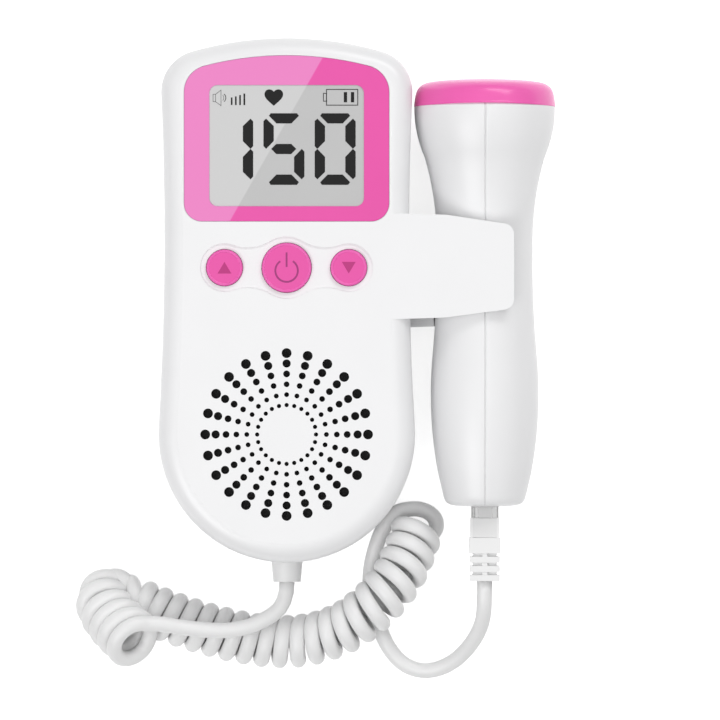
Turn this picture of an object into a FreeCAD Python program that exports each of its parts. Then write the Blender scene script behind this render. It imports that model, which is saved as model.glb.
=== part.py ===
"""Fetal doppler monitor: main unit with display, buttons and loudspeaker, side clip, ultrasound probe and
curly lead. Millimetres. The unit lies on its back: +X to its right, +Y to its display end, +Z out of its
front face. The origin is on the middle of the flat back."""

import FreeCAD, Part
import math
import os
import re
import Sketcher

V = FreeCAD.Vector

SIZES = {
    # Main unit: outline, walls and split between the two shells
    "unit_thickness": 36.5,
    "split_height": 18.25,
    "wall": 2.2,
    "front_edge_radius": 5.3,
    "rear_edge_radius": 4.0,
    "lower_radius": 35.4,
    "speaker_y": -37.1,
    "waist_half_width": 33.75,
    "waist_y": 17.5,
    "top_y": 72.2,
    "top_arc_radius": 95.0,
    "top_corner_radius": 11.6,
    # Display: lens panel in its recess, window, liquid crystal panel and backlight
    "panel_margin": 4.9,
    "panel_half_width": 28.3,
    "panel_bottom_y": 21.5,
    "panel_low_corner": 5.0,
    "panel_top_corner": 7.5,
    "lens_thickness": 1.2,
    "lens_gap": 0.1,
    "window_half_width": 21.3,
    "window_bottom_y": 25.7,
    "window_top_y": 59.1,
    "window_corner": 2.3,
    "lcd_border": 2.2,
    "lcd_thickness": 2.2,
    "backlight_thickness": 4.0,
    "strip_width": 2.0,
    # Main circuit board
    "board_half_width": 24.0,
    "board_bottom_y": -9.5,
    "board_top_y": 65.0,
    "board_thickness": 1.6,
    "board_height": 24.0,
    "board_post_radius": 2.0,
    # Parts on the board's back: places, widths, lengths and depths
    "controller_x": -9.0,
    "controller_y": 30.0,
    "controller_width": 12.0,
    "controller_length": 12.0,
    "controller_depth": 2.0,
    "amplifier_x": 10.0,
    "amplifier_y": 26.0,
    "amplifier_width": 8.0,
    "amplifier_length": 6.0,
    "amplifier_depth": 1.8,
    "filter_x": -8.0,
    "filter_y": 12.0,
    "filter_width": 9.0,
    "filter_length": 7.0,
    "filter_depth": 1.8,
    "crystal_x": 9.0,
    "crystal_y": 12.0,
    "crystal_width": 11.0,
    "crystal_length": 4.5,
    "crystal_depth": 3.0,
    "regulator_x": 16.0,
    "regulator_y": 46.0,
    "regulator_width": 6.0,
    "regulator_length": 6.0,
    "regulator_depth": 2.2,
    "capacitor_x": 14.0,
    "capacitor_y": -5.6,
    "capacitor_radius": 3.1,
    "capacitor_depth": 8.0,
    "board_corner": 1.5,
    # Buttons, their recess and their switches
    "button_y": 8.8,
    "button_pitch": 17.1,
    "power_button_radius": 6.7,
    "volume_button_radius": 4.9,
    "button_rise": 0.5,
    "button_gap": 0.25,
    "button_flange": 1.0,
    "button_flange_thickness": 1.2,
    "button_travel": 0.8,
    "recess_depth": 0.5,
    "power_lobe_radius": 8.6,
    "volume_lobe_radius": 6.7,
    "recess_neck_radius": 12.1,
    "switch_side": 6.0,
    "switch_thickness": 3.8,
    # Loudspeaker and its grille of holes
    "grille_spokes": 24,
    "grille_first_ring": 8.1,
    "grille_ring_step": 2.86,
    "grille_first_hole": 0.59,
    "grille_hole_step": 0.11,
    "speaker_radius": 25.0,
    "speaker_rim_thickness": 2.0,
    "cloth_thickness": 0.3,
    "cone_depth": 6.0,
    "basket_depth": 9.0,
    "basket_base_radius": 13.0,
    "sheet_metal": 0.8,
    "magnet_radius": 11.5,
    "magnet_thickness": 6.5,
    "speaker_rib_wall": 1.5,
    "speaker_rib_depth": 5.0,
    # Batteries, their compartment, contacts and door
    "cell_radius": 7.1,
    "cell_length": 50.5,
    "cell_bottom_y": 3.2,
    "cell_gap": 0.4,
    "compartment_end_gap": 3.4,
    "compartment_wall": 1.2,
    "contact_thickness": 0.4,
    "contact_side": 9.0,
    "tip_radius": 2.7,
    "tip_length": 1.0,
    "dimple_radius": 1.8,
    "spring_radius": 3.0,
    "spring_wire_radius": 0.35,
    "door_thickness": 2.0,
    "door_inset": 0.4,
    "door_notch_radius": 5.0,
    "door_gap": 0.3,
    "door_pin_radius": 0.6,
    "door_pin_length": 1.4,
    "pin_clearance": 0.05,
    # Case screws and their bosses
    "screw_x": 27.6,
    "screw_top_y": 54.0,
    "screw_low_radius": 28.9,
    "boss_radius": 2.4,
    "screw_shank_radius": 1.25,
    "screw_head_radius": 2.5,
    "screw_head_thickness": 1.8,
    "screw_length": 16.0,
    "screw_sink": 12.0,
    "screw_clearance": 0.05,
    # Cord gland at the lower end
    "gland_radius": 4.3,
    "gland_end_radius": 3.8,
    "gland_end_y": -78.0,
    "gland_flange": 1.4,
    "gland_flange_thickness": 2.0,
    # Clip on the right side
    "clip_root_x": 28.0,
    "clip_mid_x": 44.0,
    "clip_tip_x": 62.6,
    "clip_top_y": 23.8,
    "clip_bottom_y": -5.4,
    "clip_tip_top_y": 20.6,
    "clip_tip_bottom_y": -2.4,
    "clip_tip_corner": 3.0,
    "clip_drop": 2.3,
    "jaw_thickness": 2.1,
    "clip_slot_radius": 14.2,
    # Probe: axis, outside profile, walls
    "probe_x": 54.7,
    "probe_z": 20.2,
    "probe_wall": 2.0,
    "head_radius": 19.6,
    "head_y": 53.7,
    "shoulder_radius": 16.6,
    "shoulder_y": 39.4,
    "neck_radius": 13.3,
    "neck_y": 14.0,
    "hip_radius": 14.6,
    "hip_y": -17.0,
    "taper_radius": 12.9,
    "taper_y": -48.0,
    "foot_radius": 11.3,
    "foot_y": -54.7,
    "foot_round": 2.5,
    "shoulder_bend": 34.0,
    "neck_bend": 84.0,
    "flare_bend": 280.0,
    "belly_bend": 120.0,
    # Probe cap, crystals, board and jack
    "cap_thickness": 7.4,
    "cap_overhang": 0.2,
    "cap_bevel": 2.6,
    "cap_crown": 1.0,
    "cap_skin": 2.0,
    "crystal_radius": 12.0,
    "crystal_thickness": 1.5,
    "crystal_gap": 1.0,
    "backing_thickness": 4.0,
    "probe_board_half_width": 8.0,
    "probe_board_top_y": 36.0,
    "probe_board_thickness": 1.2,
    "jack_half_width": 6.4,
    "jack_half_depth": 5.6,
    "jack_length": 14.0,
    "port_gap": 0.3,
    # Plug and its boot
    "plug_width": 7.65,
    "plug_depth": 6.6,
    "plug_insert": 8.0,
    "plug_show": 3.0,
    "collar_width": 7.9,
    "collar_length": 5.5,
    "boot_width": 8.7,
    "boot_depth": 7.2,
    "boot_head_length": 4.4,
    "boot_rib_width": 8.3,
    "boot_rib_length": 1.7,
    "boot_slot_length": 0.85,
    "boot_spine_width": 1.5,
    "plug_gap": 0.1,
    # Wires and lead
    "wire_radius": 0.6,
    "speaker_wire_x": 2.0,
    "speaker_wire_drop": 6.5,
    "probe_wire_x": 4.0,
    "cord_diameter": 4.3,
    "coil_diameter": 15.1,
}

doc = FreeCAD.newDocument("FetalDoppler")
sheet = doc.addObject("Spreadsheet::Sheet", "Sizes")
for row, (alias, value) in enumerate(SIZES.items(), 1):
    sheet.set(f"A{row}", alias)
    sheet.set(f"B{row}", str(value))
    sheet.setAlias(f"B{row}", alias)
doc.recompute()

NODES = {}


def expression(text):
    """The same formula with each size's name read from the sheet."""
    return re.sub(r"[a-z_][a-z_0-9]*", lambda m: f"Sizes.{m[0]}" if m[0] in SIZES else m[0], str(text))


def size(text):
    """The present value of a formula of sizes."""
    value = sheet.evalExpression(expression(text))
    return float(getattr(value, "Value", value))


def bind(thing, prop, text):
    thing.setExpression(prop, expression(text))


def node(name, thing):
    """Names a finished sub-part: the label is its file's name."""
    thing.Label = name
    NODES[name] = thing
    return thing


# Plain solids placed by formulas


def place(solid, x, y, z):
    bind(solid, "Placement.Base.x", x)
    bind(solid, "Placement.Base.y", y)
    bind(solid, "Placement.Base.z", z)
    return solid


def box(name, x, y, z, length, width, height):
    """A block from its low corner."""
    block = doc.addObject("Part::Box", name)
    bind(block, "Length", length)
    bind(block, "Width", width)
    bind(block, "Height", height)
    return place(block, x, y, z)


def block(name, x, y, z, length, width, height):
    """A block centred on x and y, standing on z."""
    return box(name, f"{x} - ({length}) / 2", f"{y} - ({width}) / 2", z, length, width, height)


TURNS = {"Z": (V(0, 0, 1), 0), "X": (V(0, 1, 0), 90), "Y": (V(1, 0, 0), -90)}


def cylinder(name, x, y, z, radius, height, along="Z"):
    rod = doc.addObject("Part::Cylinder", name)
    rod.Placement = FreeCAD.Placement(V(), FreeCAD.Rotation(*TURNS[along]))
    bind(rod, "Radius", radius)
    bind(rod, "Height", height)
    return place(rod, x, y, z)


def cone(name, x, y, z, radius1, radius2, height, along="Z"):
    taper = doc.addObject("Part::Cone", name)
    taper.Placement = FreeCAD.Placement(V(), FreeCAD.Rotation(*TURNS[along]))
    bind(taper, "Radius1", radius1)
    bind(taper, "Radius2", radius2)
    bind(taper, "Height", height)
    return place(taper, x, y, z)


def fuse(name, shapes):
    joined = doc.addObject("Part::MultiFuse", name)
    joined.Shapes = shapes
    return joined


def group(name, shapes):
    """Separate solids in one node."""
    together = doc.addObject("Part::Compound", name)
    together.Links = shapes
    return together


def cut(name, base, tool):
    rest = doc.addObject("Part::Cut", name)
    rest.Base = base
    rest.Tool = tool
    return rest


# Bodies with sketches


def new_body(name):
    return doc.addObject("PartDesign::Body", name)


def new_sketch(body, name, z="0", x="0", plane="XY_Plane"):
    sketch = body.newObject("Sketcher::SketchObject", name)
    base = [f for f in body.Origin.OriginFeatures if f.Role == plane][0]
    sketch.AttachmentSupport = [(base, "")]
    sketch.MapMode = "FlatFace"
    bind(sketch, "AttachmentOffset.Base.x", x)
    bind(sketch, "AttachmentOffset.Base.z", z)
    return sketch


def constrain(sketch, kind, *args):
    """Adds a size constraint whose value is a formula, the last argument."""
    index = sketch.addConstraint(Sketcher.Constraint(kind, *args[:-1], size(args[-1])))
    sketch.setExpression(f"Constraints[{index}]", expression(args[-1]))


def pin(sketch, geometry, point, x, y):
    constrain(sketch, "DistanceX", -1, 1, geometry, point, x)
    constrain(sketch, "DistanceY", -1, 1, geometry, point, y)


def circle(sketch, x, y, radius):
    index = sketch.addGeometry(Part.Circle(V(size(x), size(y), 0), V(0, 0, 1), size(radius)), False)
    pin(sketch, index, 3, x, y)
    constrain(sketch, "Radius", index, radius)


def polygon(sketch, points, bends=None):
    """A closed outline through points. bends gives a side's arc radius: positive bulges to the right of the
    way it is drawn, negative to the left."""
    bends = bends or {}
    count = len(points)
    spots = [V(size(x), size(y), 0) for x, y in points]
    starts = []
    for i, a in enumerate(spots):
        b = spots[(i + 1) % count]
        if i in bends:
            radius = size(bends[i])
            starts.append(arc_between(sketch, a, b, radius))
        else:
            index = sketch.addGeometry(Part.LineSegment(a, b), False)
            starts.append((index, 1, 2))
    for i in range(count):
        after = starts[(i + 1) % count]
        sketch.addConstraint(Sketcher.Constraint("Coincident", starts[i][0], starts[i][2], after[0], after[1]))
    for i, (x, y) in enumerate(points):
        pin(sketch, starts[i][0], starts[i][1], x, y)
        if i in bends:
            constrain(sketch, "Radius", starts[i][0], f"abs({bends[i]})")


def arc_between(sketch, a, b, radius):
    middle = (a + b) * 0.5
    chord = b - a
    side = V(-chord.y, chord.x, 0).normalize() * (1 if radius > 0 else -1)
    centre = middle + side * math.sqrt(radius * radius - chord.Length**2 / 4)
    angles = [math.atan2(p.y - centre.y, p.x - centre.x) for p in (a, b)]
    ring = Part.Circle(centre, V(0, 0, 1), abs(radius))
    if radius > 0:
        return sketch.addGeometry(Part.ArcOfCircle(ring, angles[0], angles[1]), False), 1, 2
    return sketch.addGeometry(Part.ArcOfCircle(ring, angles[1], angles[0]), False), 2, 1


def smooth_ring(sketch, pieces):
    """A closed outline of lines and arcs that meet smoothly. Each piece is (geometry, sizes), with formulas
    for a centre's x and y, a radius, or the x or y that a straight side lies on."""
    indices = [sketch.addGeometry(shape, False) for shape, _ in pieces]
    for i, (shape, _) in enumerate(pieces):
        j = (i + 1) % len(pieces)
        ends = [(shape.StartPoint, 1), (shape.EndPoint, 2)]
        nexts = [(pieces[j][0].StartPoint, 1), (pieces[j][0].EndPoint, 2)]
        _, one, two = min((p.distanceToPoint(q), a, b) for p, a in ends for q, b in nexts)
        sketch.addConstraint(Sketcher.Constraint("Tangent", indices[i], one, indices[j], two))
    for index, (shape, sizes) in zip(indices, pieces):
        is_arc = isinstance(shape, Part.ArcOfCircle)
        for key, text in sizes.items():
            if key == "radius":
                constrain(sketch, "Radius", index, text)
            elif is_arc:
                constrain(sketch, "DistanceX" if key == "x" else "DistanceY", -1, 1, index, 3, text)
            else:
                sketch.addConstraint(Sketcher.Constraint("Vertical" if key == "x" else "Horizontal", index))
                constrain(sketch, "DistanceX" if key == "x" else "DistanceY", -1, 1, index, 1, text)


def arc(x, y, radius, start, end):
    """An arc counter-clockwise from one point's direction to another's."""
    angles = [math.atan2(p[1] - y, p[0] - x) for p in (start, end)]
    return Part.ArcOfCircle(Part.Circle(V(x, y, 0), V(0, 0, 1), radius), *angles)


def line(start, end):
    return Part.LineSegment(V(*start, 0), V(*end, 0))


def toward(start, end, distance):
    """The point at a distance from start on the way to end."""
    span = math.dist(start, end)
    return tuple(a + (b - a) * distance / span for a, b in zip(start, end))


def meeting(centre1, radius1, centre2, radius2):
    """The upper right meeting point of two circles."""
    span = math.dist(centre1, centre2)
    along = (radius1**2 - radius2**2 + span**2) / (2 * span)
    up = math.sqrt(radius1**2 - along**2)
    dx, dy = [(b - a) / span for a, b in zip(centre1, centre2)]
    points = [
        (centre1[0] + along * dx - k * up * dy, centre1[1] + along * dy + k * up * dx) for k in (1, -1)
    ]
    return min(points, key=lambda p: abs(p[0]))


def unit_outline(sketch, inset="0"):
    """The main unit's outline, or the same line moved inwards."""
    side = ("((waist_half_width * waist_half_width + (waist_y - speaker_y) * (waist_y - speaker_y)"
            " - lower_radius * lower_radius) / (2 * (lower_radius - waist_half_width)))")
    low_r, side_r, step = size(f"lower_radius - {inset}"), size(f"{side} + {inset}"), size(inset)
    corner_r, top_r = size("top_corner_radius") - step, size("top_arc_radius") - step
    low, top = (0, size("speaker_y")), (0, size("top_y - top_arc_radius"))
    right = (size(f"waist_half_width + {side}"), size("waist_y"))
    corner = meeting(right, side_r + corner_r, top, top_r - corner_r)
    low_side = toward(low, right, low_r)
    side_corner = toward(right, corner, side_r)
    corner_top = toward(top, corner, top_r)
    left = tuple([-right[0], right[1]])
    flip = lambda p: (-p[0], p[1])
    smooth_ring(sketch, [
        (arc(*low, low_r, flip(low_side), low_side),
         {"x": "0", "y": "speaker_y", "radius": f"lower_radius - {inset}"}),
        (arc(*right, side_r, side_corner, low_side), {"x": f"waist_half_width + {side}", "y": "waist_y"}),
        (arc(*corner, corner_r, side_corner, corner_top), {"radius": f"top_corner_radius - {inset}"}),
        (arc(*top, top_r, corner_top, flip(corner_top)),
         {"x": "0", "y": "top_y - top_arc_radius", "radius": f"top_arc_radius - {inset}"}),
        (arc(*flip(corner), corner_r, flip(corner_top), flip(side_corner)),
         {"radius": f"top_corner_radius - {inset}"}),
        (arc(*left, side_r, flip(low_side), flip(side_corner)),
         {"x": f"-(waist_half_width + {side})", "y": "waist_y"}),
    ])


def panel_outline(sketch, inset="0"):
    """The display panel: straight sides, round lower corners and an arched top."""
    step = size(inset)
    half, base = size("panel_half_width") - step, size("panel_bottom_y") + step
    low_r, high_r = size("panel_low_corner") - step, size("panel_top_corner") - step
    top, top_r = (0, size("top_y - top_arc_radius")), size("top_arc_radius - panel_margin") - step
    high_x = half - high_r
    high_y = top[1] + math.sqrt((top_r - high_r) ** 2 - high_x**2)
    crown = toward(top, (high_x, high_y), top_r)
    flip = lambda p: (-p[0], p[1])
    low_x, low_y = half - low_r, base + low_r
    smooth_ring(sketch, [
        (line((-low_x, base), (low_x, base)), {"y": f"panel_bottom_y + {inset}"}),
        (arc(low_x, low_y, low_r, (low_x, base), (half, low_y)), {"radius": f"panel_low_corner - {inset}"}),
        (line((half, low_y), (half, high_y)), {"x": f"panel_half_width - {inset}"}),
        (arc(high_x, high_y, high_r, (half, high_y), crown), {"radius": f"panel_top_corner - {inset}"}),
        (arc(*top, top_r, crown, flip(crown)),
         {"x": "0", "y": "top_y - top_arc_radius", "radius": f"top_arc_radius - panel_margin - {inset}"}),
        (arc(-high_x, high_y, high_r, flip(crown), (-half, high_y)),
         {"radius": f"panel_top_corner - {inset}"}),
        (line((-half, high_y), (-half, low_y)), {"x": f"-(panel_half_width - {inset})"}),
        (arc(-low_x, low_y, low_r, (-half, low_y), (-low_x, base)),
         {"radius": f"panel_low_corner - {inset}"}),
    ])


def round_rectangle(sketch, half, low, high, corner):
    """A rectangle about x = 0 with round corners."""
    h, y0, y1, r = size(half), size(low), size(high), size(corner)
    smooth_ring(sketch, [
        (line((r - h, y0), (h - r, y0)), {"y": low}),
        (arc(h - r, y0 + r, r, (h - r, y0), (h, y0 + r)), {"radius": corner}),
        (line((h, y0 + r), (h, y1 - r)), {"x": half}),
        (arc(h - r, y1 - r, r, (h, y1 - r), (h - r, y1)), {"radius": corner}),
        (line((h - r, y1), (r - h, y1)), {"y": high}),
        (arc(r - h, y1 - r, r, (r - h, y1), (-h, y1 - r)), {"radius": corner}),
        (line((-h, y1 - r), (-h, y0 + r)), {"x": f"-({half})"}),
        (arc(r - h, y0 + r, r, (-h, y0 + r), (r - h, y0)), {"radius": corner}),
    ])


def pad(body, sketch, length, down=False):
    feature = body.newObject("PartDesign::Pad", f"{sketch.Name}Pad")
    feature.Profile = sketch
    feature.Reversed = down
    bind(feature, "Length", length)
    doc.recompute()
    return feature


def pocket(body, sketch, depth, up=False):
    """A cut from the sketch downwards, or upwards."""
    feature = body.newObject("PartDesign::Pocket", f"{sketch.Name}Pocket")
    feature.Profile = sketch
    feature.Reversed = up
    bind(feature, "Length", depth)
    doc.recompute()
    return feature


def edges_at(feature, z):
    """The names of the edges that lie flat at a height."""
    return [
        f"Edge{i}" for i, e in enumerate(feature.Shape.Edges, 1)
        if abs(e.BoundBox.ZMin - z) < 1e-4 and abs(e.BoundBox.ZMax - z) < 1e-4
    ]


def fillet(body, feature, names, radius, label):
    rounding = body.newObject("PartDesign::Fillet", label)
    rounding.Base = (feature, names)
    bind(rounding, "Radius", radius)
    doc.recompute()
    return rounding


# Where the case screws stand, as formulas
SCREWS = [
    ("-screw_x", "screw_top_y"),
    ("screw_x", "screw_top_y"),
    ("-screw_low_radius * sqrt(0.5)", "speaker_y - screw_low_radius * sqrt(0.5)"),
    ("screw_low_radius * sqrt(0.5)", "speaker_y - screw_low_radius * sqrt(0.5)"),
]
BUTTONS = [
    ("power_button", "0", "power_button_radius"),
    ("volume_up_button", "-button_pitch", "volume_button_radius"),
    ("volume_down_button", "button_pitch", "volume_button_radius"),
]
INNER_FRONT = "(unit_thickness - wall)"


def clip_outline(sketch, drop="0"):
    """The clip from inside the unit's side to its tip."""
    polygon(sketch, [
        ("clip_root_x", f"clip_bottom_y - {drop}"),
        ("clip_mid_x", f"clip_bottom_y - {drop} + 0.5"),
        ("clip_tip_x", f"clip_tip_bottom_y - {drop}"),
        ("clip_tip_x", f"clip_tip_top_y - {drop}"),
        ("clip_mid_x", f"clip_top_y - {drop} - 0.4"),
        ("clip_root_x", f"clip_top_y - {drop}"),
    ])


def add_clip(body, name, drop, bottom, top):
    """One half of the clip, cut out for the probe between its jaws."""
    blank = new_sketch(body, f"{name}Clip", bottom)
    clip_outline(blank, drop)
    solid = pad(body, blank, f"{top} - ({bottom})")
    tips = [
        f"Edge{i}" for i, e in enumerate(solid.Shape.Edges, 1)
        if abs(e.BoundBox.XMin - size("clip_tip_x")) < 1e-4 and e.BoundBox.YLength < 1e-4
        and e.BoundBox.ZLength > 1
    ]
    fillet(body, solid, tips, "clip_tip_corner", f"{name}ClipTip")
    slot = new_sketch(body, f"{name}Slot", "-clip_top_y - 1", plane="XZ_Plane")
    circle(slot, "probe_x", "probe_z", "clip_slot_radius")
    pocket(body, slot, "clip_top_y - clip_bottom_y + clip_drop + 2", up=True)
    gap = new_sketch(body, f"{name}Gap", "-clip_top_y - 1", plane="XZ_Plane")
    polygon(gap, [
        ("probe_x", "probe_z - clip_slot_radius"),
        ("clip_tip_x + 1", "probe_z - clip_slot_radius"),
        ("clip_tip_x + 1", "unit_thickness - jaw_thickness"),
        ("probe_x", "unit_thickness - jaw_thickness"),
    ])
    pocket(body, gap, "clip_top_y - clip_bottom_y + clip_drop + 2", up=True)


def holes(body, name, z, places, depth, up=False):
    """Round holes given as (x, y, radius)."""
    sketch = new_sketch(body, name, z)
    for x, y, radius in places:
        circle(sketch, x, y, radius)
    return pocket(body, sketch, depth, up)


def posts(body, name, z, places, height, down=False):
    """Round posts given as (x, y, radius)."""
    sketch = new_sketch(body, name, z)
    for x, y, radius in places:
        circle(sketch, x, y, radius)
    return pad(body, sketch, height, down)


def front_shell():
    body = new_body("FrontShell")
    outline = new_sketch(body, "FrontOutline", "split_height")
    unit_outline(outline)
    blank = pad(body, outline, "unit_thickness - split_height")
    fillet(body, blank, edges_at(blank, size("unit_thickness")), "front_edge_radius", "FrontEdge")
    add_clip(body, "Front", "0", "split_height", "unit_thickness")
    hollow = new_sketch(body, "FrontHollow", "split_height")
    unit_outline(hollow, "wall")
    pocket(body, hollow, "unit_thickness - wall - split_height - 3", up=True)
    ceiling = new_sketch(body, "FrontCeiling", "unit_thickness - wall - 3")
    unit_outline(ceiling, "(wall + 1.2)")
    pocket(body, ceiling, "3", up=True)
    lens = new_sketch(body, "LensRecess", "unit_thickness")
    panel_outline(lens)
    pocket(body, lens, "lens_thickness")
    window = new_sketch(body, "Window", "unit_thickness")
    round_rectangle(window, "window_half_width", "window_bottom_y", "window_top_y", "window_corner")
    pocket(body, window, "wall + 1")
    button_recess(body)
    openings = [(x, "button_y", f"{radius} + button_gap") for _, x, radius in BUTTONS]
    holes(body, "ButtonHoles", "unit_thickness", openings, "wall + 1")
    grille(body)
    rib = new_sketch(body, "SpeakerRib", INNER_FRONT)
    circle(rib, "0", "speaker_y", "speaker_radius + button_gap")
    circle(rib, "0", "speaker_y", "speaker_radius + button_gap + speaker_rib_wall")
    pad(body, rib, "speaker_rib_depth", down=True)
    bosses = [(x, y, "boss_radius") for x, y in SCREWS]
    posts(body, "FrontBosses", "split_height", bosses, "unit_thickness - wall - split_height + 0.5")
    shanks = [(x, y, "screw_shank_radius + screw_clearance") for x, y in SCREWS]
    holes(body, "FrontShanks", "split_height", shanks, "screw_length", up=True)
    rests = [(f"{sign} * (board_half_width - board_post_radius)", y, "board_post_radius")
             for sign in (-1, 1) for y in ("board_bottom_y + board_post_radius",)]
    height = "unit_thickness - wall - board_height - board_thickness"
    posts(body, "BoardPosts", INNER_FRONT, rests, height, down=True)
    gland_hole(body, "Front")
    return node("front_shell", body)


def button_recess(body):
    """A shallow recess: three round lobes joined by necks that curve in."""
    sketch = new_sketch(body, "ButtonRecess", "unit_thickness")
    big, small = size("power_lobe_radius"), size("volume_lobe_radius")
    neck = size("recess_neck_radius")
    middle, right = (0, size("button_y")), (size("button_pitch"), size("button_y"))
    upper = meeting(middle, big + neck, right, small + neck)
    lower = (upper[0], 2 * middle[1] - upper[1])
    mirrored = lambda point: (-point[0], point[1])
    left = mirrored(right)
    big_sizes = {"x": "0", "y": "button_y", "radius": "power_lobe_radius"}
    neck_sizes = {"radius": "recess_neck_radius"}
    pieces = [(arc(*right, small, lower, upper),
               {"x": "button_pitch", "y": "button_y", "radius": "volume_lobe_radius"})]
    pieces.append((arc(*upper, neck, middle, right), neck_sizes))
    pieces.append((arc(*middle, big, upper, mirrored(upper)), big_sizes))
    pieces.append((arc(*mirrored(upper), neck, left, middle), neck_sizes))
    pieces.append((arc(*left, small, mirrored(upper), mirrored(lower)),
                   {"x": "-button_pitch", "y": "button_y", "radius": "volume_lobe_radius"}))
    pieces.append((arc(*mirrored(lower), neck, middle, left), neck_sizes))
    pieces.append((arc(*middle, big, mirrored(lower), lower), big_sizes))
    pieces.append((arc(*lower, neck, right, middle), neck_sizes))
    smooth_ring(sketch, pieces)
    pocket(body, sketch, "recess_depth")


def grille(body):
    """Six holes along one spoke, repeated round the loudspeaker's centre."""
    sketch = body.newObject("Sketcher::SketchObject", "GrilleSpoke")
    base = [f for f in body.Origin.OriginFeatures if f.Role == "XY_Plane"][0]
    sketch.AttachmentSupport = [(base, "")]
    sketch.MapMode = "FlatFace"
    bind(sketch, "AttachmentOffset.Base.y", "speaker_y")
    bind(sketch, "AttachmentOffset.Base.z", "unit_thickness")
    for i in range(6):
        radius = f"grille_first_hole + {i} * (0.6 + 0.16 * {i}) * grille_hole_step"
        circle(sketch, f"grille_first_ring + {i} * grille_ring_step", "0", radius)
    spoke = pocket(body, sketch, "wall + 1")
    pattern = body.newObject("PartDesign::PolarPattern", "GrilleSpokes")
    pattern.Originals = [spoke]
    pattern.Axis = (sketch, ["N_Axis"])
    pattern.Angle = 360
    bind(pattern, "Occurrences", "grille_spokes")
    body.Tip = pattern
    doc.recompute()


def gland_hole(body, name):
    """The half hole where the cord gland is clamped."""
    sketch = new_sketch(body, f"{name}GlandHole", "wall + 3 - speaker_y + lower_radius - 10", plane="XZ_Plane")
    circle(sketch, "0", "split_height", "gland_radius + pin_clearance")
    pocket(body, sketch, "20", up=True)


CELL_X = "(cell_radius + cell_gap / 2)"
CELL_Z = "(door_inset + door_thickness + cell_gap + cell_radius)"
INNER_X = "(2 * cell_radius + cell_gap)"
INNER_LOW = "(cell_bottom_y - compartment_end_gap)"
INNER_HIGH = "(cell_bottom_y + cell_length + compartment_end_gap)"
ROOF_Z = "(door_inset + door_thickness + 2 * (cell_gap + cell_radius))"


def rear_shell():
    body = new_body("RearShell")
    outline = new_sketch(body, "RearOutline", "0")
    unit_outline(outline)
    blank = pad(body, outline, "split_height")
    fillet(body, blank, edges_at(blank, 0), "rear_edge_radius", "RearEdge")
    add_clip(body, "Rear", "clip_drop", "probe_z - clip_slot_radius - jaw_thickness", "split_height")
    hollow = new_sketch(body, "RearHollow", "split_height")
    unit_outline(hollow, "wall")
    pocket(body, hollow, "split_height - wall - 2")
    floor = new_sketch(body, "RearFloor", "wall + 2")
    unit_outline(floor, "(wall + 0.8)")
    pocket(body, floor, "2")
    compartment = new_sketch(body, "Compartment", "0")
    outer = f"{INNER_X} + compartment_wall"
    polygon(compartment, [
        (f"-({outer})", f"{INNER_LOW} - compartment_wall"),
        (outer, f"{INNER_LOW} - compartment_wall"),
        (outer, f"{INNER_HIGH} + compartment_wall"),
        (f"-({outer})", f"{INNER_HIGH} + compartment_wall"),
    ])
    pad(body, compartment, f"{ROOF_Z} + compartment_wall")
    space = new_sketch(body, "CellSpace", "0")
    polygon(space, [
        (f"-{INNER_X}", INNER_LOW),
        (INNER_X, INNER_LOW),
        (INNER_X, INNER_HIGH),
        (f"-{INNER_X}", INNER_HIGH),
    ])
    pocket(body, space, ROOF_Z, up=True)
    bosses = [(x, y, "screw_head_radius + 1.3") for x, y in SCREWS]
    posts(body, "RearBosses", "0.001", bosses, "split_height - 0.001")
    heads = [(x, y, "screw_head_radius + 0.4") for x, y in SCREWS]
    holes(body, "HeadHoles", "0", heads, "screw_sink", up=True)
    shanks = [(x, y, "screw_shank_radius + screw_clearance") for x, y in SCREWS]
    holes(body, "RearShanks", "0", shanks, "split_height", up=True)
    pivot = new_sketch(body, "DoorPinHoles", f"-({INNER_X} + door_pin_length + door_gap)", plane="YZ_Plane")
    circle(pivot, "cell_bottom_y + cell_length + compartment_end_gap - door_gap - door_thickness / 2",
           "door_inset + door_thickness / 2", "door_pin_radius + pin_clearance")
    pocket(body, pivot, f"2 * ({INNER_X} + door_pin_length + door_gap)", up=True)
    gland_hole(body, "Rear")
    return node("rear_shell", body)


front_shell()
rear_shell()

# Display and circuit board
LCD_TOP = "(unit_thickness - wall)"
BOARD_TOP = "(board_height + board_thickness)"
LCD_Y = "((window_bottom_y + window_top_y) / 2)"
LCD_LENGTH = "(window_top_y - window_bottom_y + 2 * lcd_border)"
LCD_WIDTH = "(2 * (window_half_width + lcd_border))"


def display():
    lens = new_body("Lens")
    sketch = new_sketch(lens, "LensOutline", "unit_thickness - lens_thickness")
    panel_outline(sketch, "lens_gap")
    pad(lens, sketch, "lens_thickness")
    node("display_lens", lens)
    glass_z = f"{LCD_TOP} - lcd_thickness"
    node("lcd_panel", block("Glass", "0", LCD_Y, glass_z, LCD_WIDTH, LCD_LENGTH, "lcd_thickness"))
    light_z = f"{glass_z} - backlight_thickness"
    inner = f"{LCD_LENGTH} - 2 * strip_width - 0.4"
    node("lcd_backlight", block("Light", "0", LCD_Y, light_z, LCD_WIDTH, inner, "backlight_thickness"))
    strips = [
        block(f"Strip{end}", "0", f"{LCD_Y} + {end} * ({LCD_LENGTH} - strip_width) / 2", BOARD_TOP,
              f"{LCD_WIDTH} - 3", "strip_width", f"{glass_z} - {BOARD_TOP}")
        for end in (-1, 1)
    ]
    node("lcd_connector_strips", group("Strips", strips))


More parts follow.
